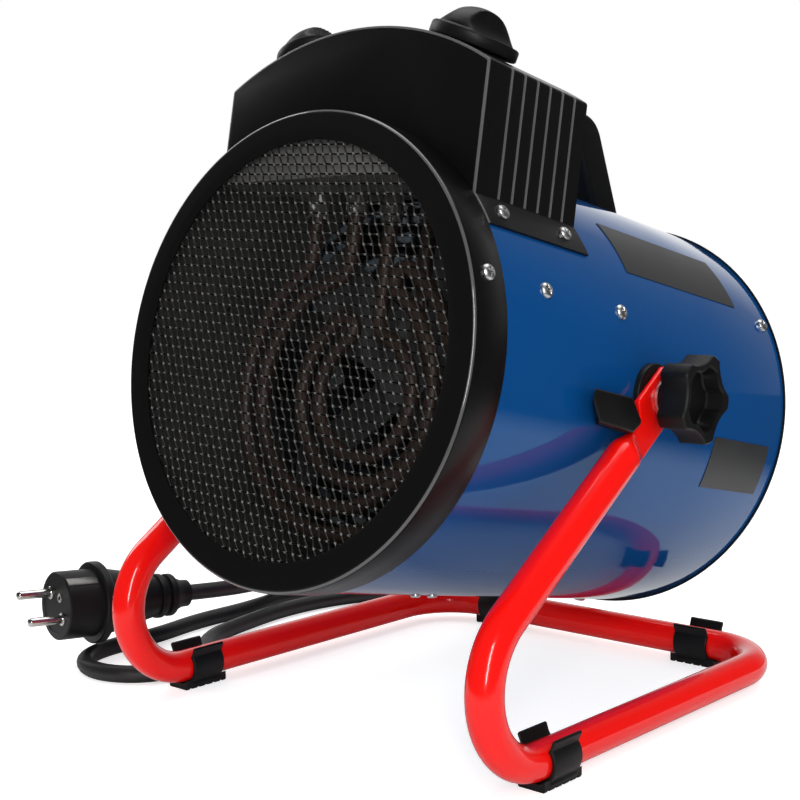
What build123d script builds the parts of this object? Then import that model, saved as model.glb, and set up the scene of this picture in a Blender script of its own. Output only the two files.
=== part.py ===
from build123d import *
from math import acos, asin, atan2, cos, degrees, pi, radians, sin, sqrt, tan
import os

# Portable electric fan heater: a round drum that tilts in a bent-tube stand.
# Millimetres and degrees. World: X to the right, Y to the back, Z up, floor at Z = 0,
# and the tilt axis runs along X over the origin.
# The heater's own axes start on the tilt axis: x right, y along the drum to the rear, z up.

# ---- fits ----
GAP = 0.3            # between pieces that move past each other
SEAT = 0.1           # between a sleeve, lid or screw and what it goes over
BORE_FIT = 0.05      # radial play of a turning shaft in its bore

# ---- stand ----
TILT = 11.11         # how far the nose is up in the standing pose
PIVOT_HEIGHT = 153.54
TUBE_DIA = 16.0
TUBE_WALL = 1.5
STAND_HALF = 112.3   # middle plane to tube centreline
SOLE = 3.0           # rubber under the tube
LEG_ANGLE = 34.4     # leg over the floor
FRONT_BEND = 34.4
REAR_BEND = 34.3
CROSSBAR_Y = 107.9
TAB_THICK = 3.4      # flattened end of the leg
TAB_IN = 108.2       # inner face of the flattened end
TAB_UPPER = 10.7     # its width above and below the line of the leg
TAB_LOWER = 12.7
TAB_ROUND = 13.7     # its end round the pivot
TAB_LENGTH = 27.0
TAB_TAPER = 13.0
STOP_RELIEF = 21.2   # radius to which the tab is cut back beside the stop block
RELIEF_AT = (15.12, 2.3)  # middle of that cut along the leg, and its distance past the tab's edge
RELIEF_LENGTH = 31.05
OVERRUN = 5.0        # how far a cutting shape runs past what it cuts

# ---- foot clips ----
CLIP_WALL = 2.0
CLIP_LENGTH = 19.5
CLIP_RISE = 10.6     # tube centre to the tips of the arms
CLIP_MOUTH = 6.0     # half the snap opening
SOLE_LENGTH = 26.0
SOLE_HALF = 7.0
RIB_STEP = 5.0
RIB_GROOVE = 1.6
RIB_DEPTH = 0.8
CLIP_LIP = 1.3       # width of the tip of an arm
MOUTH_FLOOR = 5.0    # where the snap opening starts, over the tube centre
CLIP_BEHIND = 8.54   # middle of a front clip behind the end of the front bend
REAR_CLIP_X = 67.0

# ---- drum, ring and mesh ----
DRUM_R = 105.0
DRUM_WALL = 0.8
DRUM_REAR = 128.4
RING_FRONT = -131.6
RING_WALL = 1.0
RING_DEPTH = 21.3
RING_OPENING_R = 92.6
RING_EDGE = 2.5      # rounding of the rim
MESH_WIRE = 1.2
MESH_PITCH = (9.5, 9.9)          # across each family of wires
MESH_ANGLES = (113.2, -2.6)      # run of each family, from x toward z
MESH_THICK = 0.9

# ---- control box ----
BOX_HALF = 79.5
BOX_FRONT = -110.0
BOX_REAR = -38.0
BOX_TOP = 149.3
BOX_ARCH_R = 152.9
BOX_WALL = 1.2
FLANGE_LOW = 33.0    # lower edge of the flange, degrees round the drum
SLAT_FIRST = -94.0   # vertical grooves in the box sides
SLAT_STEP = 9.2
SLAT_COUNT = 6
SLAT_WIDTH = 1.2
SLAT_DEPTH = 0.5
SLAT_FOOT = 71.0

# ---- knobs on the box ----
KNOB_Y = -88.5
KNOB_X = (50.5, -44.0)
KNOB_R = 20.4
KNOB_SKIRT = 9.0
KNOB_HEIGHT = 17.5
KNOB_RIM = 3.4       # ledge round the foot of the grip: its width and height
KNOB_RIM_HEIGHT = 6.2
SCOOP_DROP = 4.0     # how far the scoops reach below the top of the skirt
SCOOP_LEAN = 8.0
GRIP_HALF = 5.5
SCOOP_R = 12.0
SPINDLE_R = 3.0
SPINDLE_DEPTH = 14.0
NECK_R = 4.9
SWITCH_SIZE = 26.0
SWITCH_DEPTH = 18.0
SWITCH_NECK = 6.0

# ---- handle ----
HANDLE_HALF = 12.0
HANDLE_TOP = 153.0
HANDLE_THICK = 15.0
HANDLE_REAR = 97.0       # rear foot, outer and inner edge at the drum
HANDLE_REAR_IN = 73.0
HANDLE_LEAN = 0.66       # run of its legs for each unit of rise
HANDLE_SHOULDER = 1.4    # how far the upper corner stands out past the line of the leg
HANDLE_BEND = 18.0       # outer and inner bend
HANDLE_BEND_IN = 9.0
HANDLE_ROOT = 10.0       # its legs are drawn this far into the drum and trimmed there
HANDLE_FRONT = -27.0
HANDLE_EDGE = 3.0

# ---- clamp at each side ----
BOLT_R = 4.0
BOLT_IN = 93.0
BOLT_HOLD = 5.5      # length of the bolt inside the star
SADDLE_R = 15.0
STOP_OUT = 113.4
STOP_WEB = 10.0      # strip that joins the stop block to the round seat
STOP_WEB_Z = -9.0
STOP_EDGE = 1.5      # chamfer round the block's outer face
WASHER_R = 8.0
WASHER_THICK = 2.0
COLLAR_R = 9.5
COLLAR_LENGTH = 5.6
STAR_THICK = 14.0
STAR_R = 20.5
STAR_LOBES = 5
STAR_TURN = 2.0
FLUTE_R = 19.0
FLUTE_DEPTH = 4.6    # from the tips to the deepest of the hollow between them
STAR_EDGE = 1.0
DISH_R = 13.2
DISH_DEPTH = 7.0
NUT_FLATS = 13.0
NUT_HEIGHT = 6.5

# ---- screws ----
SCREW_HEAD_R = 3.5
SCREW_HEAD_HEIGHT = 2.2
SCREW_SHANK_R = 1.75
SCREW_SHANK = 6.0
SCREW_ROWS = (19.3, 166.0, -100.7)
RING_SCREW_Y = -121.0
DRUM_SCREW_Y = (-80.2, -23.0)
REAR_SCREW_Y = 119.5
REAR_SCREW_ROWS = (28.7, 148.7, -91.3)
BOX_SCREW_ANGLE = 37.6
BOX_SCREW_Y = (-96.4, -51.4)
RIVET_R = 2.4
RIVET_ANGLE = -80.0
RIVET_Y = (-46.0, -34.0)
RIVET_HEIGHT = 1.2
RIVET_EDGE = 0.8

# ---- plates stuck on the drum ----
LABEL_THICK = 0.4
NAME_PLATE = (-6.5, 95.0, 32.1, 48.9)       # front and rear ends, lower and upper angle
RATING_PLATE = (62.5, 117.5, -20.9, -6.9)

# ---- inside the drum ----
LINER_R = 100.0
LINER_WALL = 0.6
LINER_FRONT = -127.0
LINER_REAR = -40.0
LINER_PAD = 16.0
BAFFLE_Z = 76.6
BAFFLE_REAR = -98.0
SHELF_Z = 80.0
SHELF_REAR = -66.0
SHEET = 1.0
ELEMENT_R = 3.6
ELEMENT_BEND = 10.0
ELEMENT_CENTRE_Z = -14.0
ELEMENT_TOP = 90.0
TURN_AT = 60.0           # where the outer ring turns back into the inner one, degrees
OUTER_ELEMENT = (-91.0, 65.0, 53.0, -30.0, -5.0)    # y, outer and inner ring, their legs' x
INNER_ELEMENT = (-77.0, 41.0, 29.0, -28.0, -4.0)
BUSHING_R = 5.2
BUSHING_DROP = 13.5
MOTOR_R = 36.0
MOTOR_FRONT = -19.0
MOTOR_REAR = 35.0
ARM_WIDTH = 16.0
ARM_TAB = 16.0
SHAFT_R = 4.0
SHAFT_FRONT = -55.0
SHAFT_DEPTH = 40.0
FAN_Y = (-52.0, -34.0)
FAN_HUB_R = 16.0
FAN_R = 90.0
FAN_BLADES = 5
BLADE_CHORD = 32.0
BLADE_PITCH = 28.0
BLADE_THICK = 1.2

MOTOR_EDGE = 4.0
TERMINAL_SIZE = (44.0, 18.0, 120.0)     # across, along and up from the drum's middle
TERMINAL_Y = -62.0
CUTOUT_R = 7.0
CUTOUT_ANGLE = 112.0
CUTOUT_Y = -56.0

# ---- rear guard ----
GUARD_R = 105.8
GUARD_THICK = 1.2
GUARD_SKIRT = 14.0
GUARD_ROWS = (24.0, 38.0, 52.0, 66.0, 80.0, 94.0)
GUARD_SLOT = (15.0, 7.5)
GUARD_SLOT_STEP = 20.0
GLAND_X = -45.0
GLAND_Z = -55.0
GLAND_FLANGE_R = 12.0
GLAND_R = 8.0
GLAND_END_R = 6.5
GLAND_END = 155.0
GLAND_FLANGE = 3.0     # thickness of its flange and length of its straight part
GLAND_STRAIGHT = 6.0

# ---- mains cord ----
CORD_DIA = 9.2
CORD_FLOOR = 4.7          # height of the centreline on the floor
LEAD_STRAIGHT = 22.0
COIL_CENTRE = (-185.0, 240.0)
COIL_R = 49.5
COIL_PITCH = CORD_DIA + 0.5
COIL_LAYER = CORD_DIA + 0.5
COIL_LOW = 6.5            # height of the lower layer
COIL_QUARTERS = 11
COIL_CLIMB = (5, 7)       # quarter turns between which the layer climbs
LOOP_CENTRE = (-158.5, -87.0)
LOOP_R = 33.6
TIE_ANGLE = 135.0
TIE_WIDTH = 6.0
TIE_THICK = 1.0
TIE_GAP = 0.7

# ---- plug ----
PLUG_FACE = (-195.0, -117.0, 33.4)
PLUG_NECK = (-181.5, -38.0, 28.3)
PLUG_FACE_R = 18.5
PLUG_FLANGE_R = 22.4
PLUG_BODY = 20.0
PLUG_FLANGE = 5.0
PLUG_NECK_R = 11.5
PLUG_RIB_R = 12.5
PIN_R = 2.4
PIN_LENGTH = 19.0
PIN_SPACING = 19.0
PIN_ROLL = -38.4          # the pins' line, turned from level
PIN_EDGE = 1.2
PLUG_TAPER = (18.0, 34.0) # behind the flange: the shoulder and the start of the neck
PLUG_SHOULDER_R = 14.8
RIB_PITCH = 7.0           # ribs of the neck
RIB_LENGTH = 4.0
RIB_SHRINK = (0.5, 1.0)   # how much less each rib and the neck behind it measure
BOOT_WALL = 3.0           # last sleeve round the cord, its wall and length
EARTH_WIDTH = 5.0
EARTH_THICK = 1.2
EARTH_GROOVE = 2.0
EARTH_END = 1.0           # plastic left behind a groove, and behind the root of a pin
PIN_ROOT = 2.0

HALF_TURN = 180.0
BOTTOM = (Align.CENTER, Align.CENTER, Align.MIN)
TOP = (Align.CENTER, Align.CENTER, Align.MAX)

tube_r = TUBE_DIA / 2
tube_z = SOLE + tube_r
drum_in_r = DRUM_R - DRUM_WALL
ring_in_r = DRUM_R + SEAT
mesh_y = RING_FRONT + RING_WALL
drum_front = mesh_y + MESH_THICK
arch_centre_z = BOX_TOP - BOX_ARCH_R
flange_in_r = DRUM_R + SEAT
flange_out_r = flange_in_r + BOX_WALL
liner_in_r = LINER_R - LINER_WALL
tab_out = TAB_IN + TAB_THICK
saddle_out = TAB_IN - GAP
washer_out = tab_out + WASHER_THICK
star_in = washer_out + GAP + COLLAR_LENGTH
star_out = star_in + STAR_THICK
bolt_out = star_in + BOLT_HOLD
cord_r = CORD_DIA / 2

parts = {}


def heater(shape):
    """Carry a shape from the drum's own axes into the standing pose."""
    return Location((0, 0, PIVOT_HEIGHT), (-TILT, 0, 0)) * shape


def along_drum(profile, start, end):
    """Extrude a profile drawn in x and z from start to end along the drum."""
    return extrude(Plane.XZ.offset(-start) * profile, amount=end - start, dir=(0, 1, 0))


def sideways(profile, start, end):
    """Extrude a profile drawn in y and z from start to end along x."""
    return extrude(Plane.YZ.offset(start) * profile, amount=end - start, dir=(1, 0, 0))


def rod(radius, start, end):
    """Round bar along the drum axis."""
    return along_drum(Circle(radius), start, end)


def across(radius, start, end):
    """Round bar along x, on the tilt axis."""
    return sideways(Circle(radius), start, end)


def sector(outer, inner, start, end):
    """Ring sector between two angles, counted from x toward z."""
    reach = [(2 * outer * cos(radians(a)), 2 * outer * sin(radians(a))) for a in (start, (start + end) / 2, end)]
    return (Circle(outer) - Circle(inner)) & make_face(Polyline((0, 0), *reach, close=True))


def radial(radius, angle, y, shape):
    """Stand a shape drawn along +Z on the drum, pointing outward."""
    return Rot(0, 90 - angle, 0) * Pos(0, y, radius) * shape


def mirrored(shape):
    """The same piece on the left-hand side."""
    return mirror(shape, about=Plane.YZ)


def pan_screw():
    """Pan-head screw, head up, with its seat at z = 0."""
    head = Cylinder(SCREW_HEAD_R, SCREW_HEAD_HEIGHT, align=BOTTOM)
    head = fillet(head.edges().group_by(Axis.Z)[-1], SCREW_HEAD_HEIGHT * 0.6)
    return head + Cylinder(SCREW_SHANK_R, SCREW_SHANK, align=TOP)


def screw_hole():
    """Hole for a screw's shank, right through what it holds."""
    return Cylinder(SCREW_SHANK_R + SEAT, 4 * SCREW_SHANK)


# Every place on the drum where a screw stands: seat radius, angle, y.
ring_screws = [(ring_in_r + RING_WALL, a, RING_SCREW_Y) for a in SCREW_ROWS]
drum_screws = [(DRUM_R, a, y) for a in SCREW_ROWS for y in DRUM_SCREW_Y]
rear_screws = [(DRUM_R, a, REAR_SCREW_Y) for a in REAR_SCREW_ROWS]
box_screws = [(flange_out_r, a, y) for a in (BOX_SCREW_ANGLE, HALF_TURN - BOX_SCREW_ANGLE) for y in BOX_SCREW_Y]
handle_feet = (HANDLE_FRONT + (HANDLE_REAR - HANDLE_REAR_IN) / 2, (HANDLE_REAR + HANDLE_REAR_IN) / 2)


def screws_at(places, shape):
    """One copy of a screw or hole at each place."""
    return [radial(radius, angle, y, shape) for radius, angle, y in places]


def joined(shapes):
    """Separate solids kept together in one piece of hardware."""
    return Part() + shapes


# ======================= stand =======================
leg_run = Vector(0, -cos(radians(LEG_ANGLE)), -sin(radians(LEG_ANGLE)))
pivot = Vector(STAND_HALF, 0, PIVOT_HEIGHT)
tube_start = pivot + leg_run * (TAB_LENGTH + TAB_TAPER)
front_corner = Vector(STAND_HALF, -(PIVOT_HEIGHT - tube_z) / tan(radians(LEG_ANGLE)), tube_z)
rear_corner = Vector(STAND_HALF, CROSSBAR_Y, tube_z)

# The stop block's outline in the drum's own y and z.
STOP_OUTLINE = [(-58, -2.6), (-27, -3.3), (-17, -13.5), (-24, -18.7), (-50, -17), (-57, -8)]
STOP_LEAN = 18.0     # how far its front end leans forward, from the drum to the outer face


def stop_block(grow):
    """Stop in front of the leg, made larger all round by grow to cut its own clearance."""
    outline = offset(make_face(Polyline(*STOP_OUTLINE, close=True)), grow) if grow else \
        make_face(Polyline(*STOP_OUTLINE, close=True))
    return sideways(outline, DRUM_R * 0.9, STOP_OUT + grow)


def leg_end():
    """Flattened end of the right leg and its taper into the round tube."""
    side = Plane(origin=(TAB_IN, 0, PIVOT_HEIGHT), x_dir=leg_run, z_dir=(1, 0, 0))
    width = TAB_UPPER + TAB_LOWER
    middle = (TAB_LOWER - TAB_UPPER) / 2
    flat = Pos(TAB_LENGTH / 2, middle) * Rectangle(TAB_LENGTH, width)
    rounded = Circle(TAB_ROUND) & Pos(0, middle) * Rectangle(2 * TAB_ROUND, width)
    tab = extrude(side * (flat + rounded), amount=TAB_THICK)
    flat_end = Plane(origin=(TAB_IN + TAB_THICK / 2, 0, PIVOT_HEIGHT) + leg_run * TAB_LENGTH,
                     x_dir=(1, 0, 0), z_dir=leg_run)
    round_end = Plane(origin=tube_start, x_dir=(1, 0, 0), z_dir=leg_run)
    taper = loft([flat_end * Pos(0, -middle) * Rectangle(TAB_THICK, width), round_end * Circle(tube_r)])
    relief = Pos(RELIEF_AT[0], -TAB_UPPER - RELIEF_AT[1]) * Rectangle(RELIEF_LENGTH, 2 * TAB_UPPER)
    relief = extrude(side.offset(-OVERRUN) * (relief - Circle(STOP_RELIEF)), amount=TAB_THICK + 2 * OVERRUN)
    bore = across(BOLT_R + SEAT, TAB_IN - OVERRUN, tab_out + OVERRUN)
    return tab + taper - relief - heater(stop_block(2 * GAP)) - Pos(0, 0, PIVOT_HEIGHT) * bore


def stand_tube():
    """One tube: leg, front bend, rail, rear corner, crossbar and the same again."""
    right = [tube_start, front_corner, rear_corner]
    left = [Vector(-point.X, point.Y, point.Z) for point in reversed(right)]
    path = FilletPolyline(*right, *left, radius=[FRONT_BEND, REAR_BEND, REAR_BEND, FRONT_BEND])
    section = Plane(origin=path @ 0, z_dir=path % 0) * (Circle(tube_r) - Circle(tube_r - TUBE_WALL))
    tube = sweep(section, path=path)
    end = leg_end()
    return tube + end + mirrored(end)


def foot_clip():
    """Snap-on foot round a tube that runs along Y through the origin."""
    arm_r = tube_r + CLIP_WALL
    inner_r = tube_r + BORE_FIT
    arms = Circle(arm_r) + Pos(0, CLIP_RISE / 2) * Rectangle(2 * arm_r, CLIP_RISE)
    high = CLIP_RISE + CLIP_WALL
    mouth = Polyline((-CLIP_MOUTH, MOUTH_FLOOR), (CLIP_MOUTH, MOUTH_FLOOR), (arm_r - CLIP_LIP, CLIP_RISE),
                     (arm_r - CLIP_LIP, high), (CLIP_LIP - arm_r, high), (CLIP_LIP - arm_r, CLIP_RISE), close=True)
    block = Pos(0, -tube_z / 2) * Rectangle(2 * SOLE_HALF, tube_z)
    upper = along_drum(arms - make_face(mouth), -CLIP_LENGTH / 2, CLIP_LENGTH / 2)
    lower = along_drum(block & Pos(0, -tube_z) * Rectangle(4 * SOLE_HALF, tube_z), -SOLE_LENGTH / 2, SOLE_LENGTH / 2)
    clip = upper + lower - rod(inner_r, -SOLE_LENGTH, SOLE_LENGTH)
    count = int(SOLE_LENGTH / RIB_STEP)
    for index in range(count):
        y = (index - (count - 1) / 2) * RIB_STEP
        clip -= Pos(0, y, -tube_z) * Box(3 * SOLE_HALF, RIB_GROOVE, 2 * RIB_DEPTH)
    return clip


parts["stand_tube"] = stand_tube()
clip = foot_clip()
front_clip_y = front_corner.Y + FRONT_BEND / tan(radians(LEG_ANGLE / 2)) + CLIP_BEHIND
print("front clip y", round(front_clip_y, 2))
for side, sign in (("right", 1), ("left", -1)):
    parts[f"foot_clip_front_{side}"] = Pos(sign * STAND_HALF, front_clip_y, tube_z) * clip
    parts[f"foot_clip_rear_{side}"] = Pos(sign * REAR_CLIP_X, CROSSBAR_Y, tube_z) * Rot(0, 0, 90) * clip

# ======================= clamp at each side =======================


def washer():
    """Zinc washer on the flattened end of the leg."""
    return across(WASHER_R, tab_out, washer_out) - across(BOLT_R + SEAT, tab_out, washer_out)


def saddle():
    """Plastic saddle on the drum: round seat for the leg, and the stop block."""
    body = across(SADDLE_R, DRUM_R * 0.9, saddle_out)
    front = min(point[0] for point in STOP_OUTLINE)
    lean = Polyline((DRUM_R, front - 1), (DRUM_R, front + STOP_LEAN), (STOP_OUT, front), (STOP_OUT, front - 1),
                    close=True)
    stop = chamfer(stop_block(0).faces().sort_by(Axis.X)[-1].edges(), STOP_EDGE)
    body += stop - extrude(make_face(lean), amount=SADDLE_R * 2, both=True)
    body += sideways(Pos(-SADDLE_R, STOP_WEB_Z) * Rectangle(2 * SADDLE_R, STOP_WEB), DRUM_R * 0.9, saddle_out)
    return body - rod(DRUM_R + SEAT, -DRUM_R, DRUM_R) - across(BOLT_R + BORE_FIT, BOLT_IN, STOP_OUT)


def clamp_nut():
    """Nut held inside the drum wall."""
    seat = sqrt(drum_in_r ** 2 - (NUT_FLATS / sqrt(3)) ** 2)
    body = sideways(RegularPolygon(NUT_FLATS / sqrt(3), 6), seat - NUT_HEIGHT, seat)
    return body - across(BOLT_R + BORE_FIT, seat - 2 * NUT_HEIGHT, seat + NUT_HEIGHT)


def star_knob():
    """Five-cornered clamp knob with hollow sides, a deep dish in its face and a collar."""
    star = Circle(STAR_R)
    reach = STAR_R - FLUTE_DEPTH + FLUTE_R
    for lobe in range(STAR_LOBES):
        angle = radians(STAR_TURN + (lobe + 0.5) * 2 * HALF_TURN / STAR_LOBES)
        star -= Pos(reach * cos(angle), reach * sin(angle)) * Circle(FLUTE_R)
    body = sideways(star, star_in, star_out)
    body = chamfer(body.faces().sort_by(Axis.X)[-1].edges(), STAR_EDGE)
    body += across(COLLAR_R, washer_out + GAP, star_in + STAR_EDGE)
    return body - across(DISH_R, star_out - DISH_DEPTH, star_out + STAR_EDGE) - across(BOLT_R, TAB_IN, bolt_out)


sides = (("right", lambda shape: shape), ("left", mirrored))
for side, place in sides:
    parts[f"washer_{side}"] = Pos(0, 0, PIVOT_HEIGHT) * place(washer())
    parts[f"saddle_{side}"] = heater(place(saddle()))
    parts[f"clamp_nut_{side}"] = heater(place(clamp_nut()))
    parts[f"side_knob_{side}"] = heater(place(star_knob()))
    parts[f"clamp_bolt_{side}"] = heater(place(across(BOLT_R, BOLT_IN, bolt_out)))

# ======================= drum, ring and mesh =======================


def handle_cut():
    """Holes in the drum for the handle's screws."""
    return [radial(DRUM_R, 90, y, screw_hole()) for y in handle_feet]


def drum_shell():
    """Rolled sheet drum with its screw and bolt holes."""
    shell = rod(DRUM_R, drum_front, DRUM_REAR) - rod(drum_in_r, drum_front, DRUM_REAR)
    for cut in screws_at(ring_screws + drum_screws + rear_screws + box_screws, screw_hole()) + handle_cut():
        shell -= cut
    return shell - across(BOLT_R + SEAT, -2 * DRUM_R, 2 * DRUM_R)


def front_ring():
    """Pressed cap over the front of the drum, with a rounded rim."""
    out = ring_in_r + RING_WALL
    rear = RING_FRONT + RING_DEPTH
    profile = make_face(Polyline((RING_OPENING_R, RING_FRONT), (out, RING_FRONT), (out, rear), (ring_in_r, rear),
                                 (ring_in_r, mesh_y), (RING_OPENING_R, mesh_y), close=True))
    rim = profile.vertices().filter_by(lambda v: v.X > ring_in_r + SEAT and v.Y < mesh_y)
    ring = revolve(fillet(rim, min(RING_EDGE, RING_WALL * 0.95)), Axis.Y)
    for cut in screws_at(ring_screws, screw_hole()):
        ring -= cut
    return ring


def front_mesh():
    """Wire guard behind the ring: two crossing families of wires in one disc."""
    first, second = (Vector(cos(radians(a)), sin(radians(a))) for a in MESH_ANGLES)
    skew = abs(sin(radians(MESH_ANGLES[0] - MESH_ANGLES[1])))
    along_first = first * (MESH_PITCH[1] / skew)
    along_second = second * (MESH_PITCH[0] / skew)
    keep = [(p - MESH_WIRE) / p for p in MESH_PITCH]
    a, b = along_first * (keep[1] / 2), along_second * (keep[0] / 2)
    reach = int(2 * RING_OPENING_R / min(MESH_PITCH))
    openings = []
    for i in range(-reach, reach + 1):
        for j in range(-reach, reach + 1):
            centre = along_first * (i + 0.5) + along_second * (j + 0.5)
            corners = [centre + a + b, centre - a + b, centre - a - b, centre + a - b]
            if max(corner.length for corner in corners) < ring_in_r - 2 * RING_WALL:
                openings.append(make_face(Polyline(*corners, close=True)))
    print("mesh openings", len(openings))
    disc = Circle(ring_in_r - SEAT) - openings
    return along_drum(disc, mesh_y, drum_front)


parts["drum_shell"] = heater(drum_shell())
parts["front_ring"] = heater(front_ring())
parts["front_mesh"] = heater(front_mesh())

# ======================= control box =======================


def box_section(half, arch_r):
    """Area over the drum, between the side walls and under the arch."""
    block = Pos(0, BOX_TOP / 2) * Rectangle(2 * half, BOX_TOP)
    return (block & Pos(0, arch_centre_z) * Circle(arch_r)) - Circle(flange_in_r)


def knob_axis(x):
    """Turn of a knob whose stem stands square to the arch at x."""
    return degrees(asin(x / BOX_ARCH_R))


def on_arch(x, shape):
    """Stand a shape drawn along +Z on the arch at x."""
    return Pos(0, KNOB_Y, arch_centre_z) * Rot(0, knob_axis(x), 0) * Pos(0, 0, BOX_ARCH_R) * shape


def box_cover():
    """Folded sheet: arch, two grooved sides and the screwed flanges."""
    section = box_section(BOX_HALF, BOX_ARCH_R) - box_section(BOX_HALF - BOX_WALL, BOX_ARCH_R - BOX_WALL)
    flange_high = degrees(acos((BOX_HALF - BOX_WALL / 2) / flange_in_r))
    flange = along_drum(sector(flange_out_r, flange_in_r, FLANGE_LOW, flange_high), BOX_FRONT, BOX_REAR)
    cover = along_drum(section, BOX_FRONT, BOX_REAR) + flange + mirrored(flange)
    for sign in (1, -1):
        for index in range(SLAT_COUNT):
            y = SLAT_FIRST + index * SLAT_STEP
            cover -= Pos(sign * BOX_HALF, y, SLAT_FOOT) * Box(2 * SLAT_DEPTH, SLAT_WIDTH, BOX_TOP, align=BOTTOM)
    for cut in screws_at(box_screws, screw_hole()):
        cover -= cut
    for x in KNOB_X:
        cover -= on_arch(x, Cylinder(NECK_R + SEAT, 6 * BOX_WALL))
    return cover


def box_plate(start):
    """End wall inside the folded sheet."""
    inset = BOX_WALL + SEAT
    return along_drum(box_section(BOX_HALF - inset, BOX_ARCH_R - inset), start, start + BOX_WALL)


parts["box_cover"] = heater(box_cover())
parts["box_front_plate"] = heater(box_plate(BOX_FRONT))
parts["box_rear_plate"] = heater(box_plate(BOX_REAR - BOX_WALL))

# ---- knobs, spindles and what they turn ----


def control_knob():
    """Round skirt with a ledge, under a bar grip that is scooped out on both sides."""
    side = KNOB_HEIGHT - KNOB_SKIRT
    dome_r = (KNOB_R ** 2 + side ** 2) / (2 * side)
    body = Cylinder(KNOB_R, KNOB_HEIGHT, align=BOTTOM)
    body &= Pos(0, 0, KNOB_HEIGHT - dome_r) * Sphere(dome_r)
    grip = Cylinder(KNOB_R - KNOB_RIM, KNOB_HEIGHT, align=BOTTOM)
    body = (body & grip) + (body & Cylinder(KNOB_R, KNOB_RIM_HEIGHT, align=BOTTOM))
    lift = KNOB_SKIRT - SCOOP_DROP + SCOOP_R
    for sign in (1, -1):
        scoop = Cylinder(SCOOP_R, 3 * KNOB_R, rotation=(90, 0, 0))
        scoop += Pos(0, 0, SCOOP_R) * Box(2 * SCOOP_R, 3 * KNOB_R, 2 * SCOOP_R)
        scoop += Pos(SCOOP_R, 0, SCOOP_R / 2) * Box(2 * SCOOP_R, 3 * KNOB_R, 3 * SCOOP_R)
        tilted = Pos(GRIP_HALF + SCOOP_R, 0, lift) * Rot(0, SCOOP_LEAN, 0) * scoop
        body -= tilted if sign > 0 else mirrored(tilted)
    return Pos(0, 0, GAP) * body - Cylinder(SPINDLE_R, 2 * KNOB_SKIRT)


def switch_body():
    """Square body under the arch, with the neck that holds it."""
    body = Pos(0, 0, -SWITCH_NECK) * Box(SWITCH_SIZE, SWITCH_SIZE, SWITCH_DEPTH, align=TOP)
    body += Cylinder(NECK_R, SWITCH_NECK + 1, align=TOP)
    return body - Cylinder(SPINDLE_R + BORE_FIT, 2 * (SPINDLE_DEPTH + GAP))


spindle = Pos(0, 0, -SPINDLE_DEPTH) * Cylinder(SPINDLE_R, SPINDLE_DEPTH + KNOB_SKIRT, align=BOTTOM)
for x, knob, stem, body in ((KNOB_X[0], "thermostat_knob", "thermostat_spindle", "thermostat_body"),
                            (KNOB_X[1], "selector_knob", "selector_spindle", "selector_switch")):
    parts[knob] = heater(on_arch(x, control_knob()))
    parts[stem] = heater(on_arch(x, spindle))
    parts[body] = heater(on_arch(x, switch_body()))

# ======================= handle =======================


def handle():
    """Strap handle along the top of the drum."""
    under = HANDLE_TOP - HANDLE_THICK
    knee = HANDLE_REAR - HANDLE_LEAN * (HANDLE_TOP - DRUM_R) + HANDLE_SHOULDER
    inner_knee = HANDLE_REAR_IN - HANDLE_LEAN * (under - DRUM_R)
    middle = (HANDLE_REAR + HANDLE_FRONT) / 2
    root, spread = DRUM_R - HANDLE_ROOT, HANDLE_LEAN * HANDLE_ROOT

    def pair(y, z):
        return [(y, z), (2 * middle - y, z)]

    (a, b), (c, d) = pair(HANDLE_REAR + spread, root), pair(knee, HANDLE_TOP)
    (e, f), (g, h) = pair(HANDLE_REAR_IN + spread, root), pair(inner_knee, under)
    outer = FilletPolyline(b, d, c, a, radius=HANDLE_BEND)
    inner = FilletPolyline(f, h, g, e, radius=HANDLE_BEND_IN)
    profile = make_face([outer, Line(a, e), inner, Line(f, b)])
    strap = sideways(profile, -HANDLE_HALF, HANDLE_HALF)
    flat_sides = strap.faces().filter_by(Axis.X)
    strap = fillet(flat_sides.edges(), HANDLE_EDGE)
    strap -= rod(DRUM_R, 2 * HANDLE_FRONT, 2 * HANDLE_REAR)
    for cut in handle_cut():
        strap -= cut
    return strap


parts["handle"] = heater(handle())

# ======================= inside the drum =======================


def heat_shield():
    """Inner sleeve with three pads to the drum, one at each row of screws."""
    sleeve = rod(LINER_R, LINER_FRONT, LINER_REAR) - rod(liner_in_r, LINER_FRONT, LINER_REAR)
    half = degrees(LINER_PAD / 2 / DRUM_R)
    start = DRUM_SCREW_Y[0] - LINER_PAD / 2
    for angle in SCREW_ROWS:
        sleeve += along_drum(sector(drum_in_r, liner_in_r, angle - half, angle + half), start, start + LINER_PAD)
    for cut in screws_at(drum_screws, screw_hole()):
        sleeve -= cut
    return sleeve


def element_legs(element):
    """Where the two legs of an element stand, x and y."""
    y, _, _, outer_leg, inner_leg = element
    return [(outer_leg, y), (inner_leg, y)]


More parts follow.
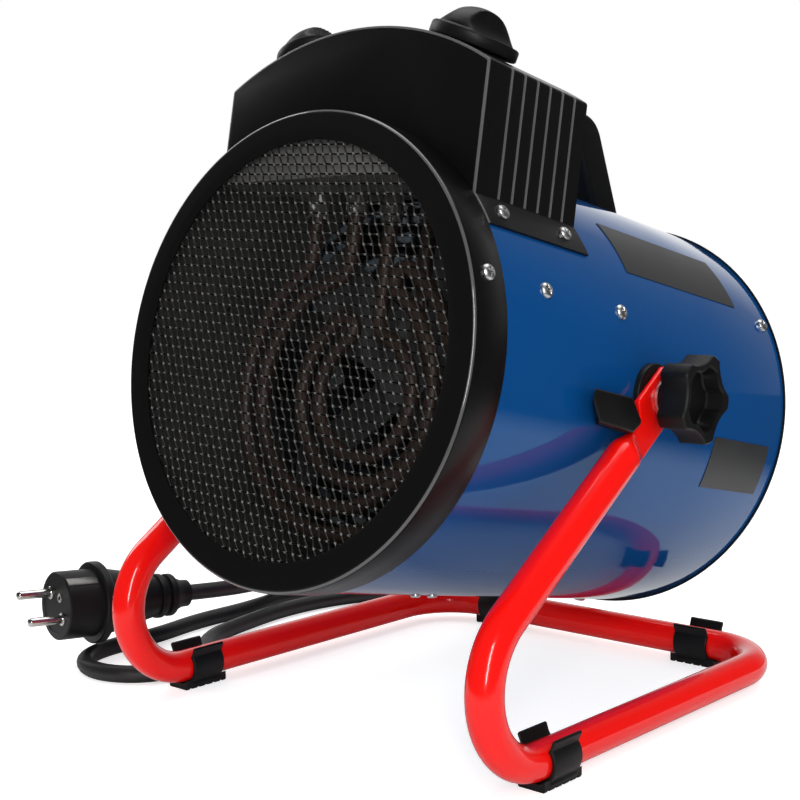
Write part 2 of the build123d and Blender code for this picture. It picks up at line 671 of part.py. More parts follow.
def heating_element(element):
    """One sheathed element: down a leg, round the outer ring, back round the inner one and up."""
    y, outer, inner, outer_leg, inner_leg = element
    centre = ELEMENT_CENTRE_Z

    def onto_ring(radius, leg_x):
        """Centre of the bend beside a leg, and where it meets the ring."""
        x = leg_x - ELEMENT_BEND
        z = sqrt((radius + ELEMENT_BEND) ** 2 - x ** 2)
        share = radius / (radius + ELEMENT_BEND)
        return z + centre, (x * share, z * share + centre), degrees(atan2(z, x))

    outer_z, outer_joint, outer_angle = onto_ring(outer, outer_leg)
    inner_z, inner_joint, inner_angle = onto_ring(inner, inner_leg)

    def on_ring(radius, angle):
        return radius * cos(radians(angle)), radius * sin(radians(angle)) + centre

    down = Line((outer_leg, ELEMENT_TOP), (outer_leg, outer_z))
    first = TangentArc(down @ 1, outer_joint, tangent=down % 1)
    ring = ThreePointArc(outer_joint, on_ring(outer, (outer_angle + TURN_AT) / 2 + HALF_TURN), on_ring(outer, TURN_AT))
    turn = TangentArc(ring @ 1, on_ring(inner, TURN_AT), tangent=ring % 1)
    back = ThreePointArc(turn @ 1, on_ring(inner, (inner_angle + TURN_AT) / 2 + HALF_TURN), inner_joint)
    last = TangentArc(back @ 1, (inner_leg, inner_z), tangent=back % 1)
    up = Line(last @ 1, (inner_leg, ELEMENT_TOP))
    plane = Plane((0, y, 0), x_dir=(1, 0, 0), z_dir=(0, -1, 0))
    path = plane * Wire([down, first, ring, turn, back, last, up])
    return sweep(Plane(origin=path @ 0, z_dir=path % 0) * Circle(ELEMENT_R), path=path)


legs = element_legs(OUTER_ELEMENT) + [(-x, y) for x, y in element_legs(INNER_ELEMENT)]


def baffle_plate():
    """Sheet that closes the top of the mouth, bent back under it; its rear shelf carries the elements."""
    low, high = BAFFLE_Z, SHELF_Z
    bend = Polyline((LINER_FRONT, low), (BAFFLE_REAR, low), (BAFFLE_REAR, high), (SHELF_REAR, high),
                    (SHELF_REAR, high + SHEET), (BAFFLE_REAR - SHEET, high + SHEET),
                    (BAFFLE_REAR - SHEET, low + SHEET), (LINER_FRONT, low + SHEET), close=True)
    plate = sideways(make_face(bend), -DRUM_R, DRUM_R)
    front = Pos(0, low + DRUM_R / 2) * Rectangle(2 * DRUM_R, DRUM_R)
    plate += along_drum(front, LINER_FRONT, LINER_FRONT + SHEET)
    plate &= rod(liner_in_r - BORE_FIT, LINER_FRONT, LINER_REAR)
    for x, y in legs:
        plate -= Pos(x, y, SHELF_Z) * Cylinder(ELEMENT_R + SEAT, 6 * SHEET)
    return plate


def bushing(x, y):
    """Ceramic sleeve round a leg, under the shelf."""
    body = Cylinder(BUSHING_R, BUSHING_DROP, align=TOP) - Cylinder(ELEMENT_R + SEAT, 3 * BUSHING_DROP)
    return Pos(x, y, SHELF_Z) * body


def motor_bracket():
    """Three-armed plate in front of the motor, screwed to the drum."""
    front = MOTOR_FRONT - 2 * SHEET
    plate = rod(MOTOR_R, front, MOTOR_FRONT)
    half = degrees(ARM_WIDTH / 2 / drum_in_r)
    for angle in SCREW_ROWS:
        arm = Rot(0, -angle, 0) * Pos(0, front, 0) * Box(drum_in_r - SHEET, 2 * SHEET, ARM_WIDTH,
                                                           align=(Align.MIN, Align.MIN, Align.CENTER))
        plate += arm
        tab = sector(drum_in_r, drum_in_r - 2 * SHEET, angle - half, angle + half)
        plate += along_drum(tab, DRUM_SCREW_Y[1] - ARM_TAB / 2, DRUM_SCREW_Y[1] + ARM_TAB / 2)
    for cut in screws_at(drum_screws, screw_hole()):
        plate -= cut
    return plate - rod(2 * SHAFT_R, front, MOTOR_FRONT)


def fan_motor():
    """Motor can with the bore its shaft turns in."""
    can = rod(MOTOR_R, MOTOR_FRONT, MOTOR_REAR)
    can = fillet(can.edges().group_by(Axis.Y)[-1], MOTOR_EDGE)
    return can - rod(SHAFT_R + BORE_FIT, MOTOR_FRONT, MOTOR_FRONT + SHAFT_DEPTH + GAP)


def fan_blade():
    """Five pitched blades on a hub."""
    middle = sum(FAN_Y) / 2
    fan = rod(FAN_HUB_R, *FAN_Y)
    blade = Box(FAN_R - FAN_HUB_R / 2, BLADE_CHORD, BLADE_THICK, align=(Align.MIN, Align.CENTER, Align.CENTER))
    for index in range(FAN_BLADES):
        turn = Rot(0, index * 360 / FAN_BLADES, 0)
        fan += Pos(0, middle, 0) * turn * Pos(FAN_HUB_R / 2, 0, 0) * Rot(BLADE_PITCH - 90, 0, 0) * blade
    return fan - rod(SHAFT_R, *FAN_Y)


parts["heat_shield"] = heater(heat_shield())
parts["baffle_plate"] = heater(baffle_plate())
parts["element_outer"] = heater(heating_element(OUTER_ELEMENT))
parts["element_inner"] = heater(mirrored(heating_element(INNER_ELEMENT)))
parts["element_bushings"] = heater(joined([bushing(x, y) for x, y in legs]))
parts["motor_bracket"] = heater(motor_bracket())
parts["fan_motor"] = heater(fan_motor())
parts["fan_blade"] = heater(fan_blade())
parts["motor_shaft"] = heater(rod(SHAFT_R, SHAFT_FRONT, MOTOR_FRONT + SHAFT_DEPTH))

# ---- rear guard and cord gland ----


def rear_guard():
    """Slotted plate over the rear, with a skirt inside the drum."""
    rear = DRUM_REAR + GUARD_THICK
    guard = Circle(GUARD_R)
    slots = []
    for radius in GUARD_ROWS:
        count = int(2 * pi * radius / GUARD_SLOT_STEP)
        for index in range(count):
            angle = (index + 0.5) * 360 / count
            place = Vector(cos(radians(angle)), sin(radians(angle))) * radius
            clear = (place - Vector(GLAND_X, GLAND_Z)).length > GLAND_FLANGE_R + GUARD_SLOT[1]
            if clear:
                slots.append(Pos(place.X, place.Y) * Rot(0, 0, angle + 90) * SlotOverall(*GUARD_SLOT))
    plate = along_drum(guard - slots, DRUM_REAR, rear)
    skirt_r = drum_in_r - SEAT
    skirt = rod(skirt_r, DRUM_REAR - GUARD_SKIRT, DRUM_REAR) - \
        rod(skirt_r - SHEET, DRUM_REAR - GUARD_SKIRT, DRUM_REAR)
    guard = plate + skirt
    for cut in screws_at(rear_screws, screw_hole()):
        guard -= cut
    return guard - Pos(GLAND_X, 0, GLAND_Z) * rod(cord_r + SEAT, DRUM_REAR, rear)


def cord_gland():
    """Rubber bush on the guard, which the cord comes out of."""
    start = DRUM_REAR + GUARD_THICK
    base = rod(GLAND_FLANGE_R, start, start + GLAND_FLANGE)
    neck = rod(GLAND_R, start, start + GLAND_STRAIGHT)
    taper = loft([Plane((0, start + GLAND_STRAIGHT, 0), z_dir=(0, 1, 0)) * Circle(GLAND_R),
                  Plane((0, GLAND_END, 0), z_dir=(0, 1, 0)) * Circle(GLAND_END_R)])
    return Pos(GLAND_X, 0, GLAND_Z) * (base + neck + taper)


parts["rear_guard"] = heater(rear_guard())
parts["cord_gland"] = heater(cord_gland())

# ---- small electrical pieces ----
terminal = Pos(0, TERMINAL_Y, 0) * Box(*TERMINAL_SIZE, align=BOTTOM) - rod(DRUM_R, BOX_FRONT, BOX_REAR)
parts["terminal_block"] = heater(terminal)
cutout = Cylinder(CUTOUT_R, drum_in_r - LINER_R - GAP, align=BOTTOM)
parts["thermal_cutout"] = heater(radial(LINER_R, CUTOUT_ANGLE, CUTOUT_Y, cutout))

# ---- plates on the drum ----
for name, (front, rear, low, high) in (("name_plate", NAME_PLATE), ("rating_plate", RATING_PLATE)):
    parts[name] = heater(along_drum(sector(DRUM_R + LABEL_THICK, DRUM_R, low, high), front, rear))

# ---- screws and rivets ----
parts["ring_screws"] = heater(joined(screws_at(ring_screws, pan_screw())))
parts["drum_screws"] = heater(joined(screws_at(drum_screws, pan_screw())))
parts["rear_screws"] = heater(joined(screws_at(rear_screws, pan_screw())))
parts["box_screws"] = heater(joined(screws_at(box_screws, pan_screw())))
inside_screw = Pos(0, 0, -DRUM_WALL - SEAT) * Rot(180, 0, 0) * pan_screw()
parts["handle_screws"] = heater(joined([radial(DRUM_R, 90, y, inside_screw) for y in handle_feet]))
rivet = fillet(Cylinder(RIVET_R, RIVET_HEIGHT, align=BOTTOM).edges().group_by(Axis.Z)[-1], RIVET_EDGE)
parts["seam_rivets"] = heater(joined([radial(DRUM_R, RIVET_ANGLE, y, rivet) for y in RIVET_Y]))

# ======================= mains cord =======================


def rounded_path(points):
    """Straight runs joined by the largest even arcs, with the radii printed."""
    points = [Vector(*point) for point in points]
    radii = []
    for before, here, after in zip(points, points[1:], points[2:]):
        turn = (here - before).get_angle(after - here)
        radii.append(0.45 * min((here - before).length, (after - here).length) / tan(radians(turn / 2)))
    print("radii", [round(radius, 1) for radius in radii])
    return FilletPolyline(*points, radius=radii)


def cord_tube(points):
    """Cord along its route; its volume is compared with section times length."""
    path = rounded_path(points)
    tube = sweep(Plane(origin=path @ 0, z_dir=path % 0) * Circle(cord_r), path=path)
    print("cord length", round(path.length, 1), "volume ratio",
          round(tube.volume / (pi * cord_r ** 2 * path.length), 4))
    return tube


def coil_radius(quarter):
    """In at a steady rate to the middle of the climb, then out again."""
    reverse = sum(COIL_CLIMB) / 2
    inner = COIL_R - COIL_PITCH * reverse / 4
    return inner + COIL_PITCH * abs(quarter - reverse) / 4


def coil_point(quarter):
    """Centreline of the coil after so many quarter turns."""
    angle = radians(quarter * 90)
    low, high = COIL_CLIMB
    climb = min(max((quarter - low) / (high - low), 0), 1)
    climb = climb * climb * (3 - 2 * climb)
    return Vector(COIL_CENTRE[0] + coil_radius(quarter) * cos(angle),
                  COIL_CENTRE[1] + coil_radius(quarter) * sin(angle), COIL_LOW + COIL_LAYER * climb)


def coil_heading(quarter):
    """Unit direction of travel, level at both ends."""
    if quarter in (0, COIL_QUARTERS):
        angle = radians(quarter * 90 + 90)
        return Vector(cos(angle), sin(angle), 0)
    step = 0.05
    return (coil_point(quarter + step) - coil_point(quarter - step)).normalized()


def biarc(start, heading, end, out_heading):
    """Two arcs that leave start and reach end along the given headings."""
    v = end - start
    t = heading + out_heading
    bend = 2 * (1 - heading.dot(out_heading))
    reach = (-v.dot(t) + sqrt(v.dot(t) ** 2 + bend * v.dot(v))) / bend
    middle = (start + heading * reach + end - out_heading * reach) / 2
    first = TangentArc(start, middle, tangent=heading)
    return [first, TangentArc(middle, end, tangent=first % 1)]


def coil_path():
    """Straight for a diameter, 2.75 turns in two layers, straight for a diameter."""
    points = [coil_point(quarter) for quarter in range(COIL_QUARTERS + 1)]
    headings = [coil_heading(quarter) for quarter in range(COIL_QUARTERS + 1)]
    edges = [Line(points[0] - headings[0] * CORD_DIA, points[0])]
    for quarter in range(COIL_QUARTERS):
        edges += biarc(points[quarter], headings[quarter], points[quarter + 1], headings[quarter + 1])
    edges.append(Line(points[-1], points[-1] + headings[-1] * CORD_DIA))
    return Wire(edges)


def least_gap(path):
    """Least distance between the surfaces of neighbouring turns, on points 2 mm apart."""
    count = int(path.length / 2)
    points = [path @ (index / count) for index in range(count + 1)]
    apart = int(3 * CORD_DIA / 2)
    return min((points[i] - points[j]).length for i in range(count + 1) for j in range(i + apart, count + 1)) - CORD_DIA


def tie_band():
    """Band round the coil's two layers, drawn across the bundle at one place."""
    turn = TIE_ANGLE / 90
    inner_r = coil_radius(turn + 4) - cord_r - TIE_GAP
    outer_r = coil_radius(turn) + cord_r + TIE_GAP
    low = COIL_LOW - cord_r - TIE_GAP
    high = COIL_LOW + COIL_LAYER + cord_r + TIE_GAP
    middle = Pos((inner_r + outer_r) / 2, (low + high) / 2)
    inside = middle * RectangleRounded(outer_r - inner_r, high - low, cord_r)
    outside = middle * RectangleRounded(outer_r - inner_r + 2 * TIE_THICK, high - low + 2 * TIE_THICK,
                                        cord_r + TIE_THICK)
    band = along_drum(outside - inside, -TIE_WIDTH / 2, TIE_WIDTH / 2)
    return Pos(*COIL_CENTRE, 0) * Rot(0, 0, TIE_ANGLE) * band


coil = coil_path()
print("coil length", round(coil.length, 1), "least gap", round(least_gap(coil), 2))
parts["cord_coil"] = sweep(Plane(origin=coil @ 0, z_dir=coil % 0) * Circle(cord_r), path=coil)
parts["cord_tie"] = tie_band()

gland_end = heater(Pos(GLAND_X, GLAND_END + GAP, GLAND_Z)).position
gland_run = (heater(Pos(GLAND_X, GLAND_END + 1 + GAP, GLAND_Z)).position - gland_end).normalized()
coil_in = coil @ 0
coil_out = coil @ 1
LEAD_POINTS = [gland_end, gland_end + gland_run * LEAD_STRAIGHT, (-51, 188, 47), (-68, 206, 29), (-98, 210, 21),
               (-127, 202, 20.8), (-148, 194.5, 18), (-162, coil_out.Y, coil_out.Z), coil_out]
parts["cord_lead"] = cord_tube(LEAD_POINTS)

plug_run = (Vector(*PLUG_FACE) - Vector(*PLUG_NECK)).normalized()
loop = [(LOOP_CENTRE[0] + LOOP_R * cos(radians(a)), LOOP_CENTRE[1] + LOOP_R * sin(radians(a)), CORD_FLOOR)
        for a in range(40, -181, -44)]
TAIL_POINTS = [coil_in, (coil_in.X, 188, coil_in.Z), (-147, 132, CORD_FLOOR), (-174, 86, CORD_FLOOR),
               (-181, 40, CORD_FLOOR), (-172, -8, CORD_FLOOR), (-163, -40, CORD_FLOOR), *loop,
               (-191, -52, CORD_FLOOR), (-199, -16, CORD_FLOOR), (-198, 24, CORD_FLOOR), (-206, 66, CORD_FLOOR),
               (-188, 106, CORD_FLOOR), (-194, 142, CORD_FLOOR), (-220, 160, CORD_FLOOR), (-250, 150, CORD_FLOOR),
               (-260, 120, CORD_FLOOR), (-240, 86, 8.5), (-206, 56, 18.5), (-183, 26, 24),
               Vector(*PLUG_NECK) - plug_run * 32, PLUG_NECK]
parts["cord_tail"] = cord_tube(TAIL_POINTS)

# ---- plug ----
plug_length = (Vector(*PLUG_FACE) - Vector(*PLUG_NECK)).length
level = Vector(0, 0, 1).cross(plug_run).normalized()
plug_plane = Plane(origin=PLUG_FACE, x_dir=level.rotate(Axis((0, 0, 0), plug_run), PIN_ROLL), z_dir=plug_run)


def mains_plug():
    """Moulded plug: round face, flange, taper and a ribbed neck."""
    back = PLUG_BODY + PLUG_FLANGE
    shoulder, neck = (back + length for length in PLUG_TAPER)
    outline = [(0, 0), (PLUG_FACE_R, 0), (PLUG_FACE_R, -PLUG_BODY), (PLUG_FLANGE_R, -PLUG_BODY),
               (PLUG_FLANGE_R, -back), (PLUG_FACE_R, -back), (PLUG_SHOULDER_R, -shoulder), (PLUG_NECK_R, -neck)]
    for rib in range(2):
        start = -neck - rib * RIB_PITCH
        rib_r, neck_r = PLUG_RIB_R - rib * RIB_SHRINK[0], PLUG_NECK_R - rib * RIB_SHRINK[1]
        outline += [(rib_r, start), (rib_r, start - RIB_LENGTH), (neck_r, start - RIB_LENGTH),
                    (neck_r, start - RIB_PITCH)]
    outline += [(cord_r + BOOT_WALL, BOOT_WALL - plug_length), (cord_r + BOOT_WALL, -plug_length), (0, -plug_length)]
    body = revolve(Plane.XZ * make_face(Polyline(*outline, close=True)), Axis.Z)
    groove = Box(EARTH_WIDTH + 2 * SEAT, 2 * EARTH_GROOVE, 2 * (PLUG_BODY - EARTH_END))
    hole = Cylinder(PIN_R + SEAT, 2 * (PLUG_BODY - PIN_ROOT))
    for sign in (1, -1):
        body -= Pos(0, sign * PLUG_FACE_R, 0) * groove
        body -= Pos(sign * PIN_SPACING / 2, 0, 0) * hole
    return body


def plug_pins():
    """Two round pins, each held in the face."""
    pin = Cylinder(PIN_R, PIN_LENGTH + PLUG_BODY - PIN_ROOT, align=BOTTOM)
    pin = fillet(pin.edges().group_by(Axis.Z)[-1], PIN_EDGE)
    return joined([Pos(sign * PIN_SPACING / 2, 0, PIN_ROOT - PLUG_BODY) * pin for sign in (1, -1)])


def earth_contacts():
    """Spring strips in the two side grooves."""
    strip = Box(EARTH_WIDTH, EARTH_THICK, PLUG_BODY - EARTH_END, align=TOP)
    floor = PLUG_FACE_R - EARTH_GROOVE + EARTH_THICK / 2
    return joined([Pos(0, sign * floor, 0) * strip for sign in (1, -1)])


for name, shape in (("mains_plug", mains_plug()), ("plug_pins", plug_pins()), ("plug_earth", earth_contacts())):
    parts[name] = plug_plane.location * shape

os.makedirs("parts", exist_ok=True)
for name, shape in parts.items():
    export_step(shape, f"parts/{name}.step")
print(len(parts), "pieces")
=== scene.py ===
from math import acos, atan2, cos, degrees, pi, radians, sin, sqrt

import bmesh
import bpy
from mathutils import Matrix, Vector


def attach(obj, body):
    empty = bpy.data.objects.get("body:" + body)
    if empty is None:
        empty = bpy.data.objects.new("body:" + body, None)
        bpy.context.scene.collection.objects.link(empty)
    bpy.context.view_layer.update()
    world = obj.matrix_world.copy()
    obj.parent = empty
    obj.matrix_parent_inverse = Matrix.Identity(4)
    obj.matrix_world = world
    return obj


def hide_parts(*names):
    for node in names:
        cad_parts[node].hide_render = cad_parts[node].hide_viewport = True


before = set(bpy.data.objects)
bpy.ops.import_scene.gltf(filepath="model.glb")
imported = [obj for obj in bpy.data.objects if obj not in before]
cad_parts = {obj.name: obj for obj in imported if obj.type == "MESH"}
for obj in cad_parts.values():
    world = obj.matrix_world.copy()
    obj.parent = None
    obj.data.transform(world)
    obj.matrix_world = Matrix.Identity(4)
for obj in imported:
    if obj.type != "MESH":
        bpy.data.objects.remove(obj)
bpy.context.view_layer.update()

# ======== view, floor and lamps ========
# The heater stands on a pale studio table, seen from its front right corner just above the floor.
# The room is bright behind it and dark on the viewer's side, so gloss paint keeps deep colour and bright edges.
AZIMUTH, ELEVATION, ROLL = radians(42.02), radians(5.45), radians(-0.78)
DISTANCE, LENS, SENSOR = 0.72689, 65.4656, 36.0
TARGET = Vector((-0.02395, -0.02716, 0.14707))
LAMPS = (("key_lamp", (1.1, -1.25, 0.62), (0.05, 0.0, 0.15), (0.18, 1.1), 15.0),
         ("side_lamp", (-1.35, -0.05, 0.95), (0.0, 0.0, 0.15), (0.4, 0.9), 5.0),
         ("top_lamp", (-0.1, 0.45, 1.7), (0.0, 0.0, 0.1), (1.6, 1.0), 12.0))
TABLE_HALF, TABLE_GLOW, TABLE_DIM, ROOM_GLOW = 25, 0.62, 0.05, 0.66


def linked(name, data):
    """A new object of the scene."""
    made = bpy.data.objects.new(name, data)
    bpy.context.scene.collection.objects.link(made)
    return made


def mesh_of(name, points, faces=()):
    """A mesh of points and faces."""
    mesh = bpy.data.meshes.new(name)
    mesh.from_pydata(points, [], faces)
    return mesh


backward = Vector((sin(AZIMUTH) * cos(ELEVATION), -cos(AZIMUTH) * cos(ELEVATION), sin(ELEVATION)))
level = Vector((cos(AZIMUTH), sin(AZIMUTH), 0))
upward = backward.cross(level)
view_right = level * cos(ROLL) + upward * sin(ROLL)
view_up = upward * cos(ROLL) - level * sin(ROLL)
camera = linked("view", bpy.data.cameras.new("view"))
camera.data.lens, camera.data.sensor_width = LENS, SENSOR
camera.data.clip_start, camera.data.clip_end = 0.01, 60.0
camera.matrix_world = Matrix.Translation(TARGET + backward * DISTANCE) @ \
    Matrix((view_right, view_up, backward)).transposed().to_4x4()
bpy.context.scene.camera = camera
bpy.context.scene.view_settings.view_transform = "Standard"

for lamp_name, stand_at, aim, size, watts in LAMPS:
    lamp = linked(lamp_name, bpy.data.lights.new(lamp_name, "AREA"))
    lamp.data.shape = "RECTANGLE"
    lamp.data.size, lamp.data.size_y = size
    lamp.data.energy = watts
    lamp.location = stand_at
    lamp.rotation_euler = (Vector(aim) - Vector(stand_at)).to_track_quat("-Z", "Y").to_euler()


def operator(operation, reflected=False):
    """One operator of a signal, as a Math node over it and what stands on its other side."""
    def applied(signal, *other):
        return signal.nodes.math(operation, *((*other, signal) if reflected else (signal, *other)))
    return applied


class Signal:
    """A value that varies over a surface or a mesh. Arithmetic on it adds Math nodes to its tree."""

    def __init__(self, nodes, socket):
        self.nodes, self.socket = nodes, socket

    def math(self, operation, *others):
        return self.nodes.math(operation, self, *others)

    __add__, __radd__ = operator("ADD"), operator("ADD", reflected=True)
    __sub__, __rsub__ = operator("SUBTRACT"), operator("SUBTRACT", reflected=True)
    __mul__, __rmul__ = operator("MULTIPLY"), operator("MULTIPLY", reflected=True)
    __truediv__, __abs__ = operator("DIVIDE"), operator("ABSOLUTE")
    __gt__, __lt__ = operator("GREATER_THAN"), operator("LESS_THAN")


class Nodes:
    """A node tree that is built node by node."""

    def __init__(self, tree):
        self.tree = tree
        tree.nodes.clear()

    def add(self, kind, values=(), output=0, **settings):
        """A node of any kind: its settings come first, then the values or links of its sockets."""
        node = self.tree.nodes.new(kind)
        for name, value in settings.items():
            if name == "stops":
                stops = node.color_ramp.elements
                while len(stops) < len(value):
                    stops.new(0.5)
                for stop, (position, shade) in zip(stops, value):
                    stop.position = position
                    stop.color = (shade, shade, shade, 1)
            else:
                setattr(node, name, value)
        for name, value in dict(values).items():
            if isinstance(value, Signal):
                self.tree.links.new(value.socket, node.inputs[name])
            else:
                node.inputs[name].default_value = value
        return Signal(self, node.outputs[output]) if node.outputs else None

    def math(self, operation, *values):
        return self.add("ShaderNodeMath", enumerate(values), operation=operation)

    def dot(self, first, second):
        return self.add("ShaderNodeVectorMath", {0: first, 1: second}, "Value", operation="DOT_PRODUCT")

    def part(self, vector, index):
        return self.add("ShaderNodeSeparateXYZ", {"Vector": vector}, index)


class Finish(Nodes):
    """The material of one kind of surface, or of the room."""

    def __init__(self, name, holder=None):
        self.material = holder or bpy.data.materials.new(name)
        self.material.use_nodes = True
        super().__init__(self.material.node_tree)

    def mix(self, share, first, second):
        """One colour where share is 0 and another where it is 1."""
        first, second = (v if isinstance(v, Signal) else (*v, 1.0) for v in (first, second))
        return self.add("ShaderNodeMix", {0: share, 6: first, 7: second}, 2, data_type="RGBA")

    def ray(self, kind):
        return self.add("ShaderNodeLightPath", output=kind)

    def place(self):
        return self.add("ShaderNodeTexCoord", output="Object")

    def noise(self, where, scale, detail=3.0):
        return self.add("ShaderNodeTexNoise", {"Vector": where, "Scale": scale, "Detail": detail}, "Fac")

    def ramp(self, value, *stops):
        return self.add("ShaderNodeValToRGB", {"Fac": value}, stops=stops)

    def bump(self, height, strength, depth):
        return self.add("ShaderNodeBump", {"Height": height, "Strength": strength, "Distance": depth})

    def surface(self, base, roughness, normal=None, **fixed):
        """Close the material with one surface shader; fixed sockets are named with underscores."""
        values = {"Base Color": base if isinstance(base, Signal) else (*base, 1.0), "Roughness": roughness}
        for name, value in fixed.items():
            values[name.replace("_", " ").title().replace("Ior", "IOR")] = value
        if normal is not None:
            values["Normal"] = normal
        self.add("ShaderNodeOutputMaterial", {"Surface": self.add("ShaderNodeBsdfPrincipled", values)})
        return self.material


table = Finish("pale_table")
away = table.add("ShaderNodeVectorMath", {0: table.place()}, "Value", operation="LENGTH")
far_mirrored = table.ray("Is Glossy Ray") * table.ramp(away, (0.34, 0.0), (0.5, 1.0))
near_top = table.add("ShaderNodeAddShader", {
    0: table.add("ShaderNodeBsdfDiffuse", {"Color": (0.8, 0.8, 0.8, 1.0)}),
    1: table.add("ShaderNodeEmission", {"Strength": table.ray("Is Camera Ray") * TABLE_GLOW})})
far_top = table.add("ShaderNodeEmission", {"Strength": TABLE_DIM})
table.add("ShaderNodeOutputMaterial", {
    "Surface": table.add("ShaderNodeMixShader", {0: far_mirrored, 1: near_top, 2: far_top})})
corners = [(x * TABLE_HALF, y * TABLE_HALF, 0.0) for x, y in ((-1, -1), (1, -1), (1, 1), (-1, 1))]
floor = linked("table_top", mesh_of("table_top", corners, [(0, 1, 2, 3)]))
floor.data.materials.append(table.material)

room = Finish("studio_room", bpy.data.worlds.new("studio_room"))
ahead = room.dot(room.add("ShaderNodeNewGeometry", output="Position"), tuple(-backward))
behind = room.ramp(ahead, (0.3, 0.045), (0.7, 0.3), (0.92, 1.0))
glow = room.add("ShaderNodeMix", {0: room.ray("Is Glossy Ray"), 2: ROOM_GLOW, 3: behind}, data_type="FLOAT")
strength = glow.math("MAXIMUM", room.ray("Is Camera Ray"))
room.add("ShaderNodeOutputWorld", {
    "Surface": room.add("ShaderNodeBackground", {"Color": (1, 1, 1, 1), "Strength": strength})})
bpy.context.scene.world = room.material

# ======== tube stand ========
# One steel tube, bent into two legs, two rails and a crossbar, with its ends pressed flat for the clamp screws.
# Powder coated in glossy red.
TUBE_R, TUBE_SIDES = 0.008, 40
STAND_HALF = 0.1123
PIVOT = Vector((0, 0, 0.15354))
RAIL_Z = 0.011
LEG_ANGLE = radians(34.4)
FRONT_BEND, REAR_BEND = (0.0344, 30), (0.0343, 20)
CROSSBAR_Y = 0.1079
TAB_MIDDLE, TAB_HALF, TAB_STEP = 0.1099, 0.0017, 0.0015
TAB_UPPER, TAB_LOWER, TAB_ROUND = 0.0107, 0.0127, 0.0137
TAB_END, ROUND_FROM = 0.027, 0.042
RELIEF_FROM, RELIEF_SLOPE, RELIEF_LEAST = 0.0165, 1.9, 0.0026
TAB_SQUARE, TIP_THIN, TIP_SWELL, TIP_RINGS, TAB_RINGS = 0.34, 0.55, 4, 10, 29
LEG_STATIONS, RAIL_STATIONS = (0.045, 0.07, 0.1, 0.13), (-0.06, -0.02, 0.02, 0.055)
CROSSBAR_STATIONS = (0.06, 0.03, 0.0)


def circle(count, radius=1.0):
    """Points round the origin, equally spaced."""
    return [(radius * cos(2 * pi * k / count), radius * sin(2 * pi * k / count)) for k in range(count)]


def eased(value, start, end):
    """0 up to start, 1 from end on, and a soft rise between."""
    share = min(max((value - start) / (end - start), 0), 1)
    return share * share * (3 - 2 * share)


def run_at(line, i):
    """Direction of a line of points at one of them."""
    return (Vector(line[min(i + 1, len(line) - 1)]) - Vector(line[max(i - 1, 0)])).normalized()


def loft(rings, capped=True):
    """Quads between successive closed rings of points, with a face over each end."""
    count = len(rings[0])
    faces = [(r * count + i, r * count + (i + 1) % count, (r + 1) * count + (i + 1) % count, (r + 1) * count + i)
             for r in range(len(rings) - 1) for i in range(count)]
    if capped:
        faces += [tuple(reversed(range(count))), tuple(range((len(rings) - 1) * count, len(rings) * count))]
    return [tuple(point) for ring in rings for point in ring], faces


def fit(name, shells, body, finish, slot, *nodes, sharp=32):
    """Join shells of (points, faces) into one piece that rides on a body and stands for CAD nodes."""
    points, faces = [], []
    for shell_points, shell_faces in shells:
        faces += [tuple(i + len(points) for i in face) for face in shell_faces]
        points += shell_points
    mesh = mesh_of(name, points, faces)
    work = bmesh.new()
    work.from_mesh(mesh)
    bmesh.ops.remove_doubles(work, verts=work.verts, dist=1e-7)
    bmesh.ops.recalc_face_normals(work, faces=work.faces)
    work.to_mesh(mesh)
    work.free()
    mesh.shade_smooth()
    mesh.set_sharp_from_angle(angle=radians(sharp))
    mesh.materials.append(finish)
    piece = linked(name, mesh)
    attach(piece, body)
    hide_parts(*nodes)
    return piece


def bend(before, corner, after, radius, steps):
    """Points along the arc that rounds a corner of a line."""
    into, out = (corner - before).normalized(), (after - corner).normalized()
    turn = into.angle(out)
    start = corner - into * radius * sin(turn / 2) / cos(turn / 2)
    side = (out - into * into.dot(out)).normalized()
    return [start + into * radius * sin(turn * i / steps) + side * radius * (1 - cos(turn * i / steps))
            for i in range(steps + 1)]


leg_run = Vector((0, -cos(LEG_ANGLE), -sin(LEG_ANGLE)))
leg_side = Vector((0, -sin(LEG_ANGLE), cos(LEG_ANGLE)))
leg_top = Vector((STAND_HALF, 0, PIVOT.z))
front_corner = leg_top + leg_run * (PIVOT.z - RAIL_Z) / sin(LEG_ANGLE)
rear_corner = Vector((STAND_HALF, CROSSBAR_Y, RAIL_Z))
far_corner = Vector((-STAND_HALF, CROSSBAR_Y, RAIL_Z))

tab_rings = []
tip = [-TAB_ROUND * cos(pi / 2 * i / TIP_RINGS) for i in range(TIP_RINGS)]
for s in tip + [i * TAB_STEP for i in range(TAB_RINGS)]:
    blend = eased(s, TAB_END, ROUND_FROM)
    pressed = 1 - blend
    reach = sqrt(max(TAB_ROUND ** 2 - s * s, 1e-9)) if s < 0 else TAB_ROUND
    relief = max(TAB_UPPER - max(s - RELIEF_FROM, 0) * RELIEF_SLOPE, RELIEF_LEAST)
    upper = min(reach, relief) * pressed + TUBE_R * blend
    lower = min(reach, TAB_LOWER) * pressed + TUBE_R * blend
    thick = TAB_HALF * pressed + TUBE_R * blend
    if s < 0:
        thick *= min(1.0, TIP_THIN + TIP_SWELL * (s + TAB_ROUND) / TAB_ROUND)
    power = TAB_SQUARE * pressed + blend
    middle = leg_top + leg_run * s + Vector((TAB_MIDDLE - STAND_HALF, 0, 0)) * pressed
    tab_rings.append([middle + leg_side * (abs(c) ** power * (upper if c > 0 else -lower))
                      + Vector((abs(n) ** power * (thick if n > 0 else -thick), 0, 0))
                      for c, n in circle(TUBE_SIDES)])

